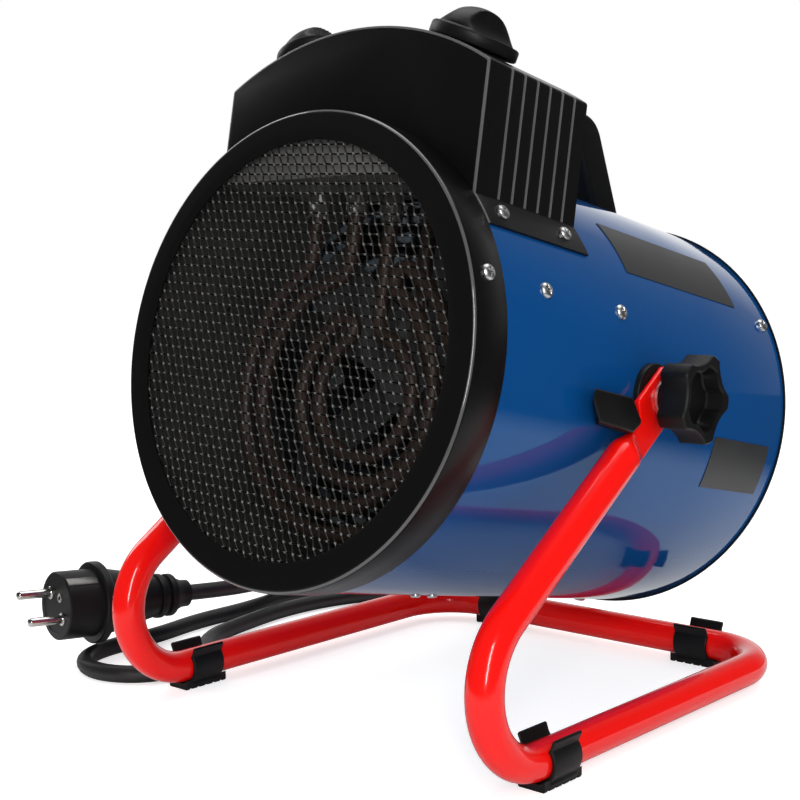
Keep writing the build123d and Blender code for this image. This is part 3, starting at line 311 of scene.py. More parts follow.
line = [leg_top + leg_run * s for s in LEG_STATIONS]
line += bend(leg_top, front_corner, rear_corner, *FRONT_BEND)
line += [Vector((STAND_HALF, y, RAIL_Z)) for y in RAIL_STATIONS]
line += bend(front_corner, rear_corner, far_corner, *REAR_BEND)
line += [Vector((x, CROSSBAR_Y, RAIL_Z)) for x in CROSSBAR_STATIONS]
tube_rings = []
across, outward = leg_side, Vector((1, 0, 0))
for i, here in enumerate(line):
    run = run_at(line, i)
    across = (across - run * across.dot(run)).normalized()
    outward = across.cross(run) * (1 if across.cross(run).dot(outward) > 0 else -1)
    tube_rings.append([here + across * c + outward * n for c, n in circle(TUBE_SIDES, TUBE_R)])
half_stand = loft(tab_rings + tube_rings, capped=False)
half_stand[1].append(tuple(reversed(range(TUBE_SIDES))))
other_half = ([(-x, y, z) for x, y, z in half_stand[0]], [tuple(reversed(face)) for face in half_stand[1]])

red = Finish("red_powder_coat")
spot = red.place()
dust = red.ramp(red.noise(spot, 900.0, 4.0), (0.62, 0.0), (0.8, 1.0))
red_paint = red.surface(red.mix(dust * 0.1, (0.86, 0.005, 0.0028), (0.88, 0.05, 0.035)), dust * 0.1 + 0.2,
                        red.bump(red.noise(spot, 260.0, 2.0), 0.06, 0.0004),
                        specular_ior_level=0.2, coat_weight=0.5, coat_roughness=0.04)
fit("stand_frame", [half_stand, other_half], "stand", red_paint, "red_paint", "stand_tube", sharp=60)

# ======== snap-on feet ========
# Four clips of soft black plastic, pushed up over the rails and the crossbar.
# Each stands on a ribbed sole that is a little longer than its arms.
CLIP_LENGTH, SOLE_LENGTH, CLIP_EDGE = 0.0195, 0.026, 0.0006
CLIP_R, CLIP_RISE = 0.01, 0.0106
SOLE_HALF, RIB_STEP, RIB_GROOVE, RIB_DEPTH, RIB_SLOPE = 0.007, 0.005, 0.0016, 0.0008, 0.0003
FRONT_CLIP_Y, REAR_CLIP_X = -0.08851, 0.067


def polar(radius, angle):
    """A point on a circle round the origin, angle in degrees."""
    return radius * cos(radians(angle)), radius * sin(radians(angle))


def arc(centre, radius, start, end, steps):
    """Points of an arc in a plane, angles in degrees."""
    turned = [polar(radius, start + (end - start) * i / steps) for i in range(steps + 1)]
    return [(centre[0] + x, centre[1] + y) for x, y in turned]


def mirrored(outline):
    """The same line on the other side, walked the other way."""
    return [(-x, y) for x, y in reversed(outline)]


def shrunk(outline, amount):
    """The same closed outline, counted anticlockwise, moved in by a small amount."""
    moved = []
    for i, (x, y) in enumerate(outline):
        a, b = Vector(outline[i - 1]), Vector(outline[(i + 1) % len(outline)])
        first, second = (Vector((x, y)) - a).normalized(), (b - Vector((x, y))).normalized()
        inward = Vector((-first.y - second.y, first.x + second.x))
        inward = inward.normalized() / max(sqrt((1 + first.dot(second)) / 2), 0.5)
        moved.append((x + inward.x * amount, y + inward.y * amount))
    return moved


def moulding(outline, near, far, edge, place, steps=3):
    """A prism over an outline whose two rims are rounded by edge; place turns (u, v, depth) into a point."""
    turns = [pi / 2 * i / steps for i in range(steps + 1)]
    rings = [(edge * (1 - sin(t)), near + edge * (1 - cos(t))) for t in turns]
    rings += [(edge * (1 - cos(t)), far - edge * (1 - sin(t))) for t in turns]
    return loft([[place(u, v, depth) for u, v in shrunk(outline, inset)] for inset, depth in rings])


def grooved(start, end, middles, width, slope, depth):
    """Stations along a length that is grooved at each middle, as (place, groove depth)."""
    stations = [(start, 0)]
    for y in middles:
        stations += [(y - width / 2, 0), (y - width / 2 + slope, depth),
                     (y + width / 2 - slope, depth), (y + width / 2, 0)]
    return stations + [(end, 0)]


def clouded(name, dark, light, cloud, rough, grain=None, **fixed):
    """A finish that drifts from dark to light by a cloud of (scale, detail).

    Its roughness is (least, swing), and grain is the (scale, detail, strength, depth) of its fine bumps.
    """
    finish = Finish(name)
    spot = finish.place()
    drift = finish.noise(spot, *cloud)
    normal = finish.bump(finish.noise(spot, *grain[:2]), *grain[2:]) if grain else None
    return finish.surface(finish.mix(drift, dark, light), drift * rough[1] + rough[0] if rough[1] else rough[0],
                          normal, **fixed)


half_clip = [(SOLE_HALF, -RAIL_Z + 0.0012), (SOLE_HALF + 0.0004, -0.0085)] + arc((0, 0), CLIP_R, -46, 36, 16)
half_clip += [(0.0086, 0.0072), (CLIP_R - 0.0003, 0.0096), (CLIP_R - 0.0008, CLIP_RISE), (CLIP_R - 0.0017, 0.0102),
              (0.0074, 0.0073), (0.0066, 0.006)]
clip_outline = half_clip + arc((0, 0), TUBE_R + 0.0001, 41, -221, 40) + mirrored(half_clip)

clip_shells = []
for x, y, turned in ((STAND_HALF, FRONT_CLIP_Y, False), (-STAND_HALF, FRONT_CLIP_Y, False),
                     (REAR_CLIP_X, CROSSBAR_Y, True), (-REAR_CLIP_X, CROSSBAR_Y, True)):
    def on_rail(u, v, depth, x=x, y=y, turned=turned):
        """From the clip's own section and length to its place on the tube."""
        return Vector((x + depth, y + u, RAIL_Z + v)) if turned else Vector((x + u, y + depth, RAIL_Z + v))

    clip_shells.append(moulding(clip_outline, -CLIP_LENGTH / 2, CLIP_LENGTH / 2, CLIP_EDGE, on_rail))
    rings = []
    for depth, lift in grooved(-SOLE_LENGTH / 2, SOLE_LENGTH / 2, [i * RIB_STEP for i in range(-2, 3)],
                               RIB_GROOVE, RIB_SLOPE, RIB_DEPTH):
        half_sole = [(SOLE_HALF - 0.0006, -RAIL_Z + lift), (SOLE_HALF, -RAIL_Z + 0.0008 + lift / 2),
                     (SOLE_HALF, -0.0062), (0.0045, -0.0078)]
        rings.append([on_rail(u, v, depth) for u, v in half_sole + [(0, -0.0082)] + mirrored(half_sole)])
    clip_shells.append(loft(rings))

soft_black = clouded("soft_black_plastic", (0.0035, 0.0035, 0.0038), (0.0075, 0.0075, 0.008), (60.0, 3.0),
                     (0.38, 0.15), (1500.0, 2.0, 0.25, 0.0003), specular_ior_level=0.26)
fit("foot_clips", clip_shells, "stand", soft_black, "black_plastic", "foot_clip_front_right",
    "foot_clip_front_left", "foot_clip_rear_right", "foot_clip_rear_left")

# ======== drum ========
# A rolled sheet-steel drum in mirror-like blue powder coat, coloured near black inside as painted shade.
# It hangs nose up between the legs, and all that is fixed to it is drawn along its axis.
TILT = radians(-11.11)
DRUM_R, DRUM_WALL, DRUM_EDGE = 0.105, 0.0008, 0.0003
DRUM_FRONT, DRUM_REAR, DRUM_SIDES = -0.1297, 0.1284, 288
SEAM_AT, SEAM_HALF = radians(-76), 0.0028
nose_up = Matrix.Translation(PIVOT) @ Matrix.Rotation(TILT, 4, "X")


def drum(u, v, depth):
    """A point given across, up and along the drum."""
    return nose_up @ Vector((u, depth, v))


def lathe(profile, steps, place):
    """Turn a closed profile of (radius, depth) round the depth axis; place takes (u, v, depth)."""
    rings = [[place(r * c, r * s, depth) for r, depth in profile] for c, s in circle(steps)]
    return loft(rings + rings[:1], capped=False)


def drum_axes(finish):
    """A spot of a finish in the drum's own axes: across, along and up."""
    return finish.add("ShaderNodeMapping", {
        "Vector": finish.place(), "Location": tuple(PIVOT), "Rotation": (TILT, 0, 0)}, vector_type="TEXTURE")


def past_radius(finish, own, radius):
    """1 where a spot is further from the drum's axis than the radius."""
    x, z = finish.part(own, 0), finish.part(own, 2)
    return (x * x + z * z).math("SQRT") > radius


wall_outline = [(DRUM_R, DRUM_FRONT), (DRUM_R, -0.06), (DRUM_R, 0.0), (DRUM_R, 0.06),
                *arc((DRUM_R - DRUM_EDGE, DRUM_REAR - DRUM_EDGE), DRUM_EDGE, 0, 90, 4),
                (DRUM_R - DRUM_WALL, DRUM_REAR - DRUM_EDGE), (DRUM_R - DRUM_WALL, DRUM_FRONT)]
blue = Finish("blue_powder_coat")
spot = blue.place()
orange_peel = blue.noise(spot, 420.0, 2.0) * 0.25 + blue.noise(spot, 55.0, 1.0)
dust = blue.ramp(blue.noise(spot, 1100.0, 4.0), (0.66, 0.0), (0.78, 1.0))
own = drum_axes(blue)
outside = past_radius(blue, own, DRUM_R - DRUM_WALL / 2)
# Painted shade: a thin dark line along the lap seam stands for its shadow gap.
seam_shadow = abs(blue.part(own, 2).math("ARCTAN2", blue.part(own, 0)) - SEAM_AT) < SEAM_HALF
coated = blue.mix(dust * 0.06, (0.0025, 0.056, 0.205), (0.05, 0.11, 0.25))
seam_shaded = blue.mix(seam_shadow, coated, (0.004, 0.012, 0.035))
# Painted shade: the inside of the drum, where outside is 0, is coloured near black.
blue_paint = blue.surface(blue.mix(outside, (0.012, 0.012, 0.013), seam_shaded), dust * 0.1 + 0.05,
                          blue.bump(orange_peel, 0.06, 0.0006), specular_tint=(0.42, 0.72, 1.0, 1.0))
fit("drum_sheet", [lathe(wall_outline, DRUM_SIDES, drum)], "heater", blue_paint, "blue_paint", "drum_shell", sharp=40)

# ======== front ring ========
# A pressed steel cap over the drum's mouth, with a rolled rim that holds the wire guard.
# Semi-gloss black; a painted highlight under a glossy coat draws a thin line of light along the rim's front bend.
RING_FRONT, RING_WALL, RING_DEPTH, RING_OPENING = -0.1316, 0.001, 0.0213, 0.0926
RING_R = DRUM_R + 0.0001
RING_OUT, RING_BEND, RIM_BAND = RING_R + RING_WALL, 0.0022, 0.0012
BLACK_COAT, RIM_HIGHLIGHT_GREY = (0.0045, 0.0043, 0.0046), (0.075,) * 3


def black_coat(finish, spot, bright, coat, line, **fixed):
    """Close a finely grained black coat with a painted highlight, in the colour line, where bright is 1."""
    return finish.surface(finish.mix(bright, coat, line), finish.noise(spot, 35.0, 3.0) * 0.08 + 0.26,
                          finish.bump(finish.noise(spot, 1300.0, 2.0), 0.14, 0.0003), **fixed)


ring_outline = [(r, RING_FRONT + d) for r, d in [
    (RING_R, RING_DEPTH), (RING_R, RING_WALL + 0.0001), (RING_OPENING + 0.0002, RING_WALL + 0.0001),
    (RING_OPENING, 0.0007), (RING_OPENING + 0.0001, 0.0002), (RING_OPENING + 0.0006, 0), (RING_OPENING + 0.006, 0),
    *arc((RING_OUT - RING_BEND, RING_BEND), RING_BEND, -90, 0, 8),
    (RING_OUT, RING_DEPTH - 0.0004), (RING_OUT - 0.0003, RING_DEPTH)]]
coal = Finish("black_powder_coat")
spot = coal.place()
specks = coal.ramp(coal.noise(spot, 1000.0, 4.0), (0.67, 0.0), (0.76, 1.0))
own = drum_axes(coal)
# Painted highlight: the rim's front bend is coloured light grey and given a glossy coat.
rim_highlight_band = (coal.part(own, 1) < RING_FRONT + RIM_BAND) * past_radius(coal, own, RING_OUT - RIM_BAND)
dusty = coal.mix(specks * 0.12, BLACK_COAT, (0.05, 0.05, 0.05))
black_paint = black_coat(coal, spot, rim_highlight_band, dusty, RIM_HIGHLIGHT_GREY, specular_ior_level=0.16,
                         coat_weight=rim_highlight_band * 0.9, coat_roughness=0.06)
fit("ring_cap", [lathe(ring_outline, DRUM_SIDES, drum)], "heater", black_paint, "black_paint", "front_ring", sharp=50)

# ======== wire guard ========
# Crimped steel wires, woven over and under each other and held behind the ring.
# One tree lays both families of wires; they are dark, with painted highlights where they cross and a painted sheen on
# the first family.
WIRE_R, WIRE_CRIMP, WIRE_STEP = 0.00042, 0.00042, 0.00118
WIRE_PLANE = -0.12965
GUARD_REACH = 0.1038
FAMILIES = ((1.0, radians(113.2), 0.00416), (-1.0, radians(-2.6), 0.00431))
KNUCKLE, SHEEN_BAND = 0.13, 0.12


class Recipe(Nodes):
    """A geometry tree with named inputs, each given by its usual value or else by the kind of thing it takes."""
    KINDS = {float: "Float", int: "Int", tuple: "Vector"}

    def __init__(self, name, **inputs):
        super().__init__(bpy.data.node_groups.new(name, "GeometryNodeTree"))
        self.sockets = {}
        for title, usual in inputs.items():
            kind = self.KINDS.get(type(usual), usual)
            socket = self.tree.interface.new_socket(title, in_out="INPUT", socket_type=f"NodeSocket{kind}")
            if kind != usual:
                socket.default_value = usual
            self.sockets[title] = socket.identifier
        self.tree.interface.new_socket("Result", in_out="OUTPUT", socket_type="NodeSocketGeometry")

    def size(self, title):
        return self.add("NodeGroupInput", output=title)

    def vector(self, **parts):
        return self.add("ShaderNodeCombineXYZ", parts)

    def close(self, shape):
        """Make the shape real, give it the metal and end the tree."""
        real = self.add("GeometryNodeRealizeInstances", {"Geometry": shape})
        clad = self.add("GeometryNodeSetMaterial", {"Geometry": real, "Material": self.size("Metal")})
        self.add("NodeGroupOutput", {0: clad})

    def run(self, seed_mesh, **values):
        """Run the tree on a carrier object and give back its plain mesh as (points, faces)."""
        carrier = linked("carrier", seed_mesh)
        step = carrier.modifiers.new("recipe", "NODES")
        step.node_group = self.tree
        for title, value in values.items():
            step[self.sockets[title]] = value
        made = bpy.data.meshes.new_from_object(carrier.evaluated_get(bpy.context.evaluated_depsgraph_get()))
        carrier.modifiers.remove(step)
        bpy.data.objects.remove(carrier)
        return [tuple(v.co) for v in made.vertices], [tuple(f.vertices) for f in made.polygons]


weave = Recipe("woven_wires", Pitch=0.004, Reach=0.1, Turn=0.0, Side=1.0, Crimp=0.0004, Wire=0.0004, Step=0.001,
               First=(1, 0, 0), Second=(0, 1, 0), Metal="Material")
pitch, reach = weave.size("Pitch"), weave.size("Reach")
rows = weave.add("GeometryNodeMeshLine", {
    "Count": (reach * 2.0 / pitch).math("FLOOR"), "Offset": weave.vector(Y=pitch),
    "Start Location": weave.vector(Y=(reach / pitch).math("FLOOR") * (pitch * -1.0))})
row_y = weave.part(weave.add("GeometryNodeInputPosition"), 1)
half_wire = (reach.math("POWER", 2.0) - row_y.math("POWER", 2.0)).math("MAXIMUM", 1e-7).math("SQRT")
wires = weave.add("GeometryNodeInstanceOnPoints", {
    "Points": rows, "Scale": weave.vector(X=half_wire, Y=1.0, Z=1.0),
    "Instance": weave.add("GeometryNodeCurvePrimitiveLine", {"Start": (-1, 0, 0), "End": (1, 0, 0)})})
wires = weave.add("GeometryNodeRealizeInstances", {"Geometry": wires})
wires = weave.add("GeometryNodeResampleCurve", {"Curve": wires, "Length": weave.size("Step")}, mode="LENGTH")
wires = weave.add("GeometryNodeTransform", {"Geometry": wires, "Rotation": weave.vector(Z=weave.size("Turn"))})
here = weave.add("GeometryNodeInputPosition")
crossings = weave.dot(here, weave.size("First")) + weave.dot(here, weave.size("Second"))
lift = (crossings * pi).math("COSINE") * weave.size("Crimp") * weave.size("Side")
wires = weave.add("GeometryNodeSetPosition", {"Geometry": wires, "Offset": weave.vector(Z=lift)})
wires = weave.add("GeometryNodeCurveToMesh", {
    "Curve": wires, "Fill Caps": True, "Profile Curve": weave.add("GeometryNodeCurvePrimitiveCircle", {
        "Resolution": 6, "Radius": weave.size("Wire")})})
weave.close(wires)

normals = [Vector((-sin(turn), cos(turn), 0)) / pitch for side, turn, pitch in FAMILIES]
galvanised = Finish("wire_zinc")
dull = galvanised.noise(galvanised.place(), 300.0, 3.0)
own = drum_axes(galvanised)
first_gap, second_gap = (galvanised.dot(own, (n.x, 0, n.y)).math("PINGPONG", 0.5) for n in normals)
# Painted sheen: the first family of wires is lighter in clouds, while the second stays near black as painted shade.
first_family_sheen = galvanised.mix(dull * (first_gap < SHEEN_BAND), (0.004, 0.0039, 0.0038), (0.058, 0.057, 0.055))
# Painted highlights: where the wires cross they are coloured light grey, as glints.
crossing_glints = galvanised.mix((first_gap < KNUCKLE) * (second_gap < KNUCKLE), first_family_sheen, (0.22, 0.22, 0.21))
wire_zinc = galvanised.surface(crossing_glints, dull * 0.2 + 0.28, metallic=0.5, specular_ior_level=0.15)
guard_shells = []
for side, turn, pitch in FAMILIES:
    points, faces = weave.run(mesh_of("empty", []), Pitch=pitch, Reach=GUARD_REACH, Turn=turn, Side=side,
                              Crimp=WIRE_CRIMP, Wire=WIRE_R, Step=WIRE_STEP, First=normals[0], Second=normals[1],
                              Metal=wire_zinc)
    guard_shells.append(([tuple(drum(u, v, WIRE_PLANE - w)) for u, v, w in points], faces))
fit("wire_guard", guard_shells, "heater", wire_zinc, "zinc", "front_mesh", sharp=70)

# ======== heating elements and what carries them ========
# Sheathed elements bent into rings hang from a bent shelf by ceramic sleeves, inside a thin heat shield.
# The sheaths are browned by heat and the sheet metal is left bare.
ELEMENT_R, ELEMENT_BEND, ELEMENT_Z, ELEMENT_TOP = 0.0036, 0.01, -0.014, 0.0895
TURN_BACK, SHEATH_SIDES = 60, 14
ELEMENTS = ((-0.091, 0.065, 0.053, -0.03, -0.005, 1), (-0.077, 0.041, 0.029, -0.028, -0.004, -1))


def dress(finish, *nodes):
    """Give CAD pieces whose shape is right their finish."""
    for node in nodes:
        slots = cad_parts[node].data.materials
        slots.clear()
        slots.append(finish)


for name, dark, light, metallic, *nodes in (
        ("bare_sheet_steel", (0.08, 0.078, 0.075), (0.4, 0.392, 0.38), 0.6, "baffle_plate"),
        ("heat_stained_steel", (0.038, 0.036, 0.035), (0.098, 0.094, 0.09), 0.4, "heat_shield", "motor_bracket")):
    dress(clouded(name, dark, light, (24.0, 3.0), (0.26, 0.25), (110.0, 4.0, 0.9, 0.0014), metallic=metallic),
          *nodes)


def element_line(outer, inner, outer_leg, inner_leg):
    """Centreline of one element: down a leg, round the outer ring, back round the inner one and up."""
    def joint(radius, leg):
        """Centre of the bend between a leg and its ring, and where it meets the ring."""
        x = leg - ELEMENT_BEND
        z = sqrt((radius + ELEMENT_BEND) ** 2 - x * x)
        return x, z, degrees(atan2(z, x))

    ox, oz, outer_from = joint(outer, outer_leg)
    ix, iz, inner_to = joint(inner, inner_leg)
    top = ELEMENT_TOP - ELEMENT_Z
    middle = polar((outer + inner) / 2, TURN_BACK)
    line = [(outer_leg, top), (outer_leg, (top + oz) / 2)]
    line += arc((ox, oz), ELEMENT_BEND, 0, outer_from - 180, 10)
    line += arc((0, 0), outer, outer_from, 360 + TURN_BACK, 72)[1:]
    line += arc(middle, (outer - inner) / 2, TURN_BACK, 180 + TURN_BACK, 12)[1:-1]
    line += arc((0, 0), inner, 360 + TURN_BACK, inner_to, 60)
    line += arc((ix, iz), ELEMENT_BEND, inner_to - 180, 0, 10)[1:]
    return line + [(inner_leg, (top + iz) / 2), (inner_leg, top)]


def pipe(line, radius, place):
    """A round bar along a flat line of (u, v); place takes (u, v, depth)."""
    rings = []
    for i, (x, y) in enumerate(line):
        run = run_at(line, i)
        rings.append([place(x - run.y * c, y + run.x * c, n) for c, n in circle(SHEATH_SIDES, radius)])
    return loft(rings)


element_shells = [pipe(element_line(*sizes), ELEMENT_R,
                       lambda u, v, w, d=depth, h=hand: drum(h * u, v + ELEMENT_Z, d + w))
                  for depth, *sizes, hand in ELEMENTS]
browned_sheath = clouded("browned_sheath", (0.024, 0.015, 0.012), (0.062, 0.036, 0.027), (45.0, 3.0), (0.38, 0.2),
                         (900.0, 3.0, 0.2, 0.0002), metallic=0.3)
fit("elements", element_shells, "heater", browned_sheath, "element", "element_outer", "element_inner")

glaze = Finish("ceramic")
glints = glaze.ramp(glaze.noise(glaze.place(), 260.0), (0.58, 0.0), (0.64, 1.0))
dress(glaze.surface(glaze.mix(glints, (0.06, 0.057, 0.052), (0.62, 0.61, 0.58)), 0.22), "element_bushings")

# ======== motor and fan ========
# A dark enamelled motor on a three-armed bracket turns a pressed five-bladed fan of blackened sheet.
# Its shaft, like the clamp screws and the dials' spindles, is bright zinc plated steel.
dress(clouded("motor_enamel", (0.07, 0.07, 0.076), (0.13, 0.13, 0.14), (90.0, 3.0), (0.42, 0),
              (1200.0, 3.0, 0.15, 0.0002)), "fan_motor")

sheet = Finish("fan_sheet")
drawn_out = sheet.add("ShaderNodeMapping", {"Vector": sheet.place(), "Scale": (30.0, 600.0, 30.0)})
rolled = sheet.noise(drawn_out, 1.0)
dress(sheet.surface(sheet.mix(rolled, (0.045, 0.045, 0.046), (0.085, 0.085, 0.086)), rolled * 0.2 + 0.38,
                    metallic=0.3), "fan_blade")

bright_zinc = clouded("bright_zinc", (0.62, 0.63, 0.62), (0.8, 0.81, 0.8), (500.0, 3.0), (0.26, 0.2),
                      (500.0, 3.0, 0.08, 0.0002), metallic=1.0)
dress(bright_zinc, "motor_shaft", "thermal_cutout", "clamp_nut_right", "clamp_nut_left", "clamp_bolt_right",
      "clamp_bolt_left", "thermostat_spindle", "selector_spindle")

# ======== rear guard ========
# A slotted steel plate screwed over the rear, where the air goes in.
# Powder coated black like the ring.
dress(black_paint, "rear_guard")

# ======== control box ========
# A folded sheet-steel hood over the drum: an arched top, two grooved sides and screwed-down flanges.
# Flat plates close it at the front and the rear. Black powder coat, with painted highlight lines along the front fold
# and in the side grooves.
BOX_HALF, BOX_FRONT, BOX_REAR, BOX_WALL = 0.0795, -0.11, -0.038, 0.0012
ARCH_R, BOX_TOP, ARCH_ROUND, ARCH_START, PLATE_EDGE = 0.1529, 0.1493, 0.0022, 1.2, 0.0002
FLANGE_R, FLANGE_LOW, FOLD = 0.1051, 33.0, 0.0016
ARCH_Z = BOX_TOP - ARCH_R
SLAT_FOOT, SLAT_STEP, SLAT_WIDTH, SLAT_DEPTH, SLAT_SLOPE = 0.071, 0.0092, 0.0017, 0.0005, 0.0002
SLATS = [-0.094 + i * SLAT_STEP for i in range(6)]
EDGE_BAND, SIDE_BAND, FOLD_HIGHLIGHT_GREY = 0.0007, 0.0008, (0.09,) * 3


def rounded(corners, steps=4):
    """A line through corners given as (x, y, radius), each rounded by its radius."""
    line = []
    for i, (x, y, radius) in enumerate(corners):
        if radius == 0 or i in (0, len(corners) - 1):
            line.append((x, y))
            continue
        before, here, after = (Vector((*corners[j][:2], 0)) for j in (i - 1, i, i + 1))
        line += [(p.x, p.y) for p in bend(before, here, after, radius, steps)]
    return line


def across_at(radius, half):
    """Angle in degrees at which a circle reaches half a width."""
    return degrees(atan2(sqrt(radius ** 2 - half ** 2), half))


arch_edge = across_at(ARCH_R, BOX_HALF) + ARCH_START
fold_z = sqrt((FLANGE_R + BOX_WALL) ** 2 - BOX_HALF ** 2)
edge_z = ARCH_Z + sqrt(ARCH_R ** 2 - BOX_HALF ** 2)
arch_line = arc((0, ARCH_Z), ARCH_R, arch_edge, 90, 16)
flange_line = [polar(FLANGE_R + BOX_WALL, a) for a in (FLANGE_LOW, 35.0, 37.0, 39.0)]
right_hood = rounded([*((x, z, 0) for x, z in flange_line), (BOX_HALF, fold_z, FOLD), (BOX_HALF, SLAT_FOOT, 0),
                      (BOX_HALF, SLAT_FOOT + 0.0006, 0), (BOX_HALF, 0.1, 0), (BOX_HALF, edge_z, ARCH_ROUND),
                      (*arch_line[0], 0)]) + arch_line[1:]
hood_line = right_hood + mirrored(right_hood[:-1])


def hood_section(groove, trim):
    """Closed section of the hood's sheet: outer line one way, inner line back; trim thins its end."""
    outer, inner = [], []
    for i, (x, z) in enumerate(hood_line):
        run = run_at(hood_line, i)
        inner.append((x - run.y * BOX_WALL, z + run.x * BOX_WALL))
        cut = groove if abs(abs(x) - BOX_HALF) < 1e-6 and z > SLAT_FOOT + 0.0003 else 0
        x -= cut if x > 0 else -cut
        outer.append((x + (inner[-1][0] - x) * trim, z + (inner[-1][1] - z) * trim))
    return outer + inner[::-1]


hood_stations = [(BOX_FRONT, 0, 0.65), (BOX_FRONT + 0.00025, 0, 0.2)]
hood_stations += [(depth, groove, 0) for depth, groove in grooved(
    BOX_FRONT + 0.0008, BOX_REAR - 0.0003, SLATS, SLAT_WIDTH, SLAT_SLOPE, SLAT_DEPTH)]
hood_stations += [(BOX_REAR, 0, 0.25)]
hood_rings = [[drum(u, v, depth) for u, v in hood_section(groove, trim)] for depth, groove, trim in hood_stations]

plate_inset = BOX_WALL + 0.0001
plate_r, plate_half = ARCH_R - plate_inset, BOX_HALF - plate_inset
plate_edge, foot = across_at(plate_r, plate_half), across_at(FLANGE_R, plate_half)
plate_outline = arc((0, ARCH_Z), plate_r, plate_edge, 180 - plate_edge, 24) + \
    arc((0, 0), FLANGE_R, 180 - foot, foot, 24)
plates = [moulding(plate_outline, near, near + BOX_WALL, PLATE_EDGE, drum)
          for near in (BOX_FRONT, BOX_REAR - BOX_WALL)]

hood = Finish("hood_powder_coat")
own = drum_axes(hood)
own_x, own_y, own_z = (hood.part(own, axis) for axis in range(3))
from_first = own_y - (SLATS[0] - SLAT_STEP / 2)
in_slat = abs(from_first.math("MODULO", SLAT_STEP) - SLAT_STEP / 2) < SLAT_WIDTH / 2
in_rows = (from_first > 0) * (own_y < SLATS[-1] + SLAT_STEP / 2)
on_side = (abs(own_x) > BOX_HALF - SIDE_BAND) * (own_z > SLAT_FOOT)
# Painted highlights: light grey lines in the side grooves and along the front fold.
fold_highlights = (in_slat * in_rows * on_side).math("MAXIMUM", own_y < BOX_FRONT + EDGE_BAND)
hood_paint = black_coat(hood, own, fold_highlights, BLACK_COAT, FOLD_HIGHLIGHT_GREY, specular_ior_level=0.3)
fit("hood", [loft(hood_rings)], "heater", hood_paint, "black_paint", "box_cover", sharp=35)
fit("hood_plates", plates, "heater", black_paint, "black_paint", "box_front_plate", "box_rear_plate")
dress(clouded("pale_moulding", (0.22, 0.22, 0.2), (0.34, 0.34, 0.31), (200.0, 3.0), (0.5, 0)),
      "thermostat_body", "selector_switch", "terminal_block")

# ======== control knobs ========
# Two black knobs with a round skirt and a bar grip, pushed on spindles that stand square to the arch.
# Each grip is what two finger scoops leave of a dome.
KNOB_Y, KNOBS = -0.0885, ((0.0505, "thermostat"), (-0.044, "selector"))
KNOB_R, KNOB_HEIGHT, KNOB_FLOOR, LEDGE = 0.0204, 0.0175, 0.0012, 0.0062
GRIP_R, GRIP_FOOT, GRIP_HALF, GRIP_SOFT = 0.0177, 0.0184, 0.0055, 0.0026
SCOOP_R, SCOOP_FLOOR, SCOOP_RISE, SCOOP_LEVEL = 0.012, 0.0052, 0.14, 0.0175
KNOB_SIDES = 120
DOME_R = (GRIP_FOOT ** 2 + (KNOB_HEIGHT - LEDGE) ** 2) / (2 * (KNOB_HEIGHT - LEDGE))
SKIRT = ((KNOB_R - 0.0005, 0.0003), (KNOB_R, 0.0008), (KNOB_R, LEDGE - 0.0016), (KNOB_R - 0.0002, LEDGE - 0.0008),
         (KNOB_R - 0.0008, LEDGE - 0.0002), (KNOB_R - 0.0016, LEDGE), (GRIP_R + 0.0006, LEDGE + 0.0001),
         (GRIP_R + 0.0002, LEDGE + 0.0003))
DOME_SHARES = (1.0, 0.98, 0.95, 0.91, 0.86, 0.8, 0.73, 0.66, 0.59, 0.52, 0.45, 0.39, 0.34, 0.29, 0.24, 0.18, 0.1)


def scooped(u):
    """Height of the scoops beside the grip; no limit on the grip itself."""
    off = abs(u) - GRIP_HALF
    if off < 0:
        return 1.0
    wall = SCOOP_R - sqrt(max(SCOOP_R ** 2 - (off - SCOOP_R) ** 2, 0)) if off < SCOOP_R else 0
    return SCOOP_FLOOR + wall + SCOOP_RISE * (abs(u) - SCOOP_LEVEL)


def knob_height(u, v):
    """The lower one of dome and scoop, with a soft edge where they meet."""
    dome = KNOB_HEIGHT - DOME_R + sqrt(DOME_R ** 2 - u * u - v * v)
    gap = max(GRIP_SOFT - abs(dome - scooped(u)), 0) / GRIP_SOFT
    return min(dome, scooped(u)) - gap * gap * GRIP_SOFT * 0.25


for x, dial in KNOBS:
    slope = sqrt(ARCH_R ** 2 - x * x)

    def on_arch(u, v, w, x=x, slope=slope):
        """A point over the arch, given across, along and out from the knob's foot."""
        lean, upright = x / ARCH_R, slope / ARCH_R
        return nose_up @ Vector((x + u * upright + w * lean, KNOB_Y - v, ARCH_Z + slope - u * lean + w * upright))

    rings = [[on_arch(u, v, min(lift, max(scooped(u), KNOB_FLOOR))) for u, v in circle(KNOB_SIDES, radius)]
             for radius, lift in SKIRT]
    rings += [[on_arch(u, v, max(knob_height(u, v), KNOB_FLOOR)) for u, v in circle(KNOB_SIDES, GRIP_R * share)]
              for share in DOME_SHARES]
    fit(f"{dial}_grip", [loft(rings)], f"{dial}_dial", soft_black, "black_plastic", f"{dial}_knob", sharp=45)

# ======== carrying handle ========
# A thick black plastic strap with rounded edges, screwed to the top of the drum from inside.
# Its two sides lean towards each other.
HANDLE_HALF, HANDLE_EDGE, HANDLE_MIDDLE, HANDLE_LEAN, HANDLE_LOW = 0.012, 0.003, 0.035, 0.66, 0.102
STRAP_LINES = ((0.097, 0.153, 0.0014, 0.018, 12, 1), (0.073, 0.138, 0.0, 0.009, 10, -1))

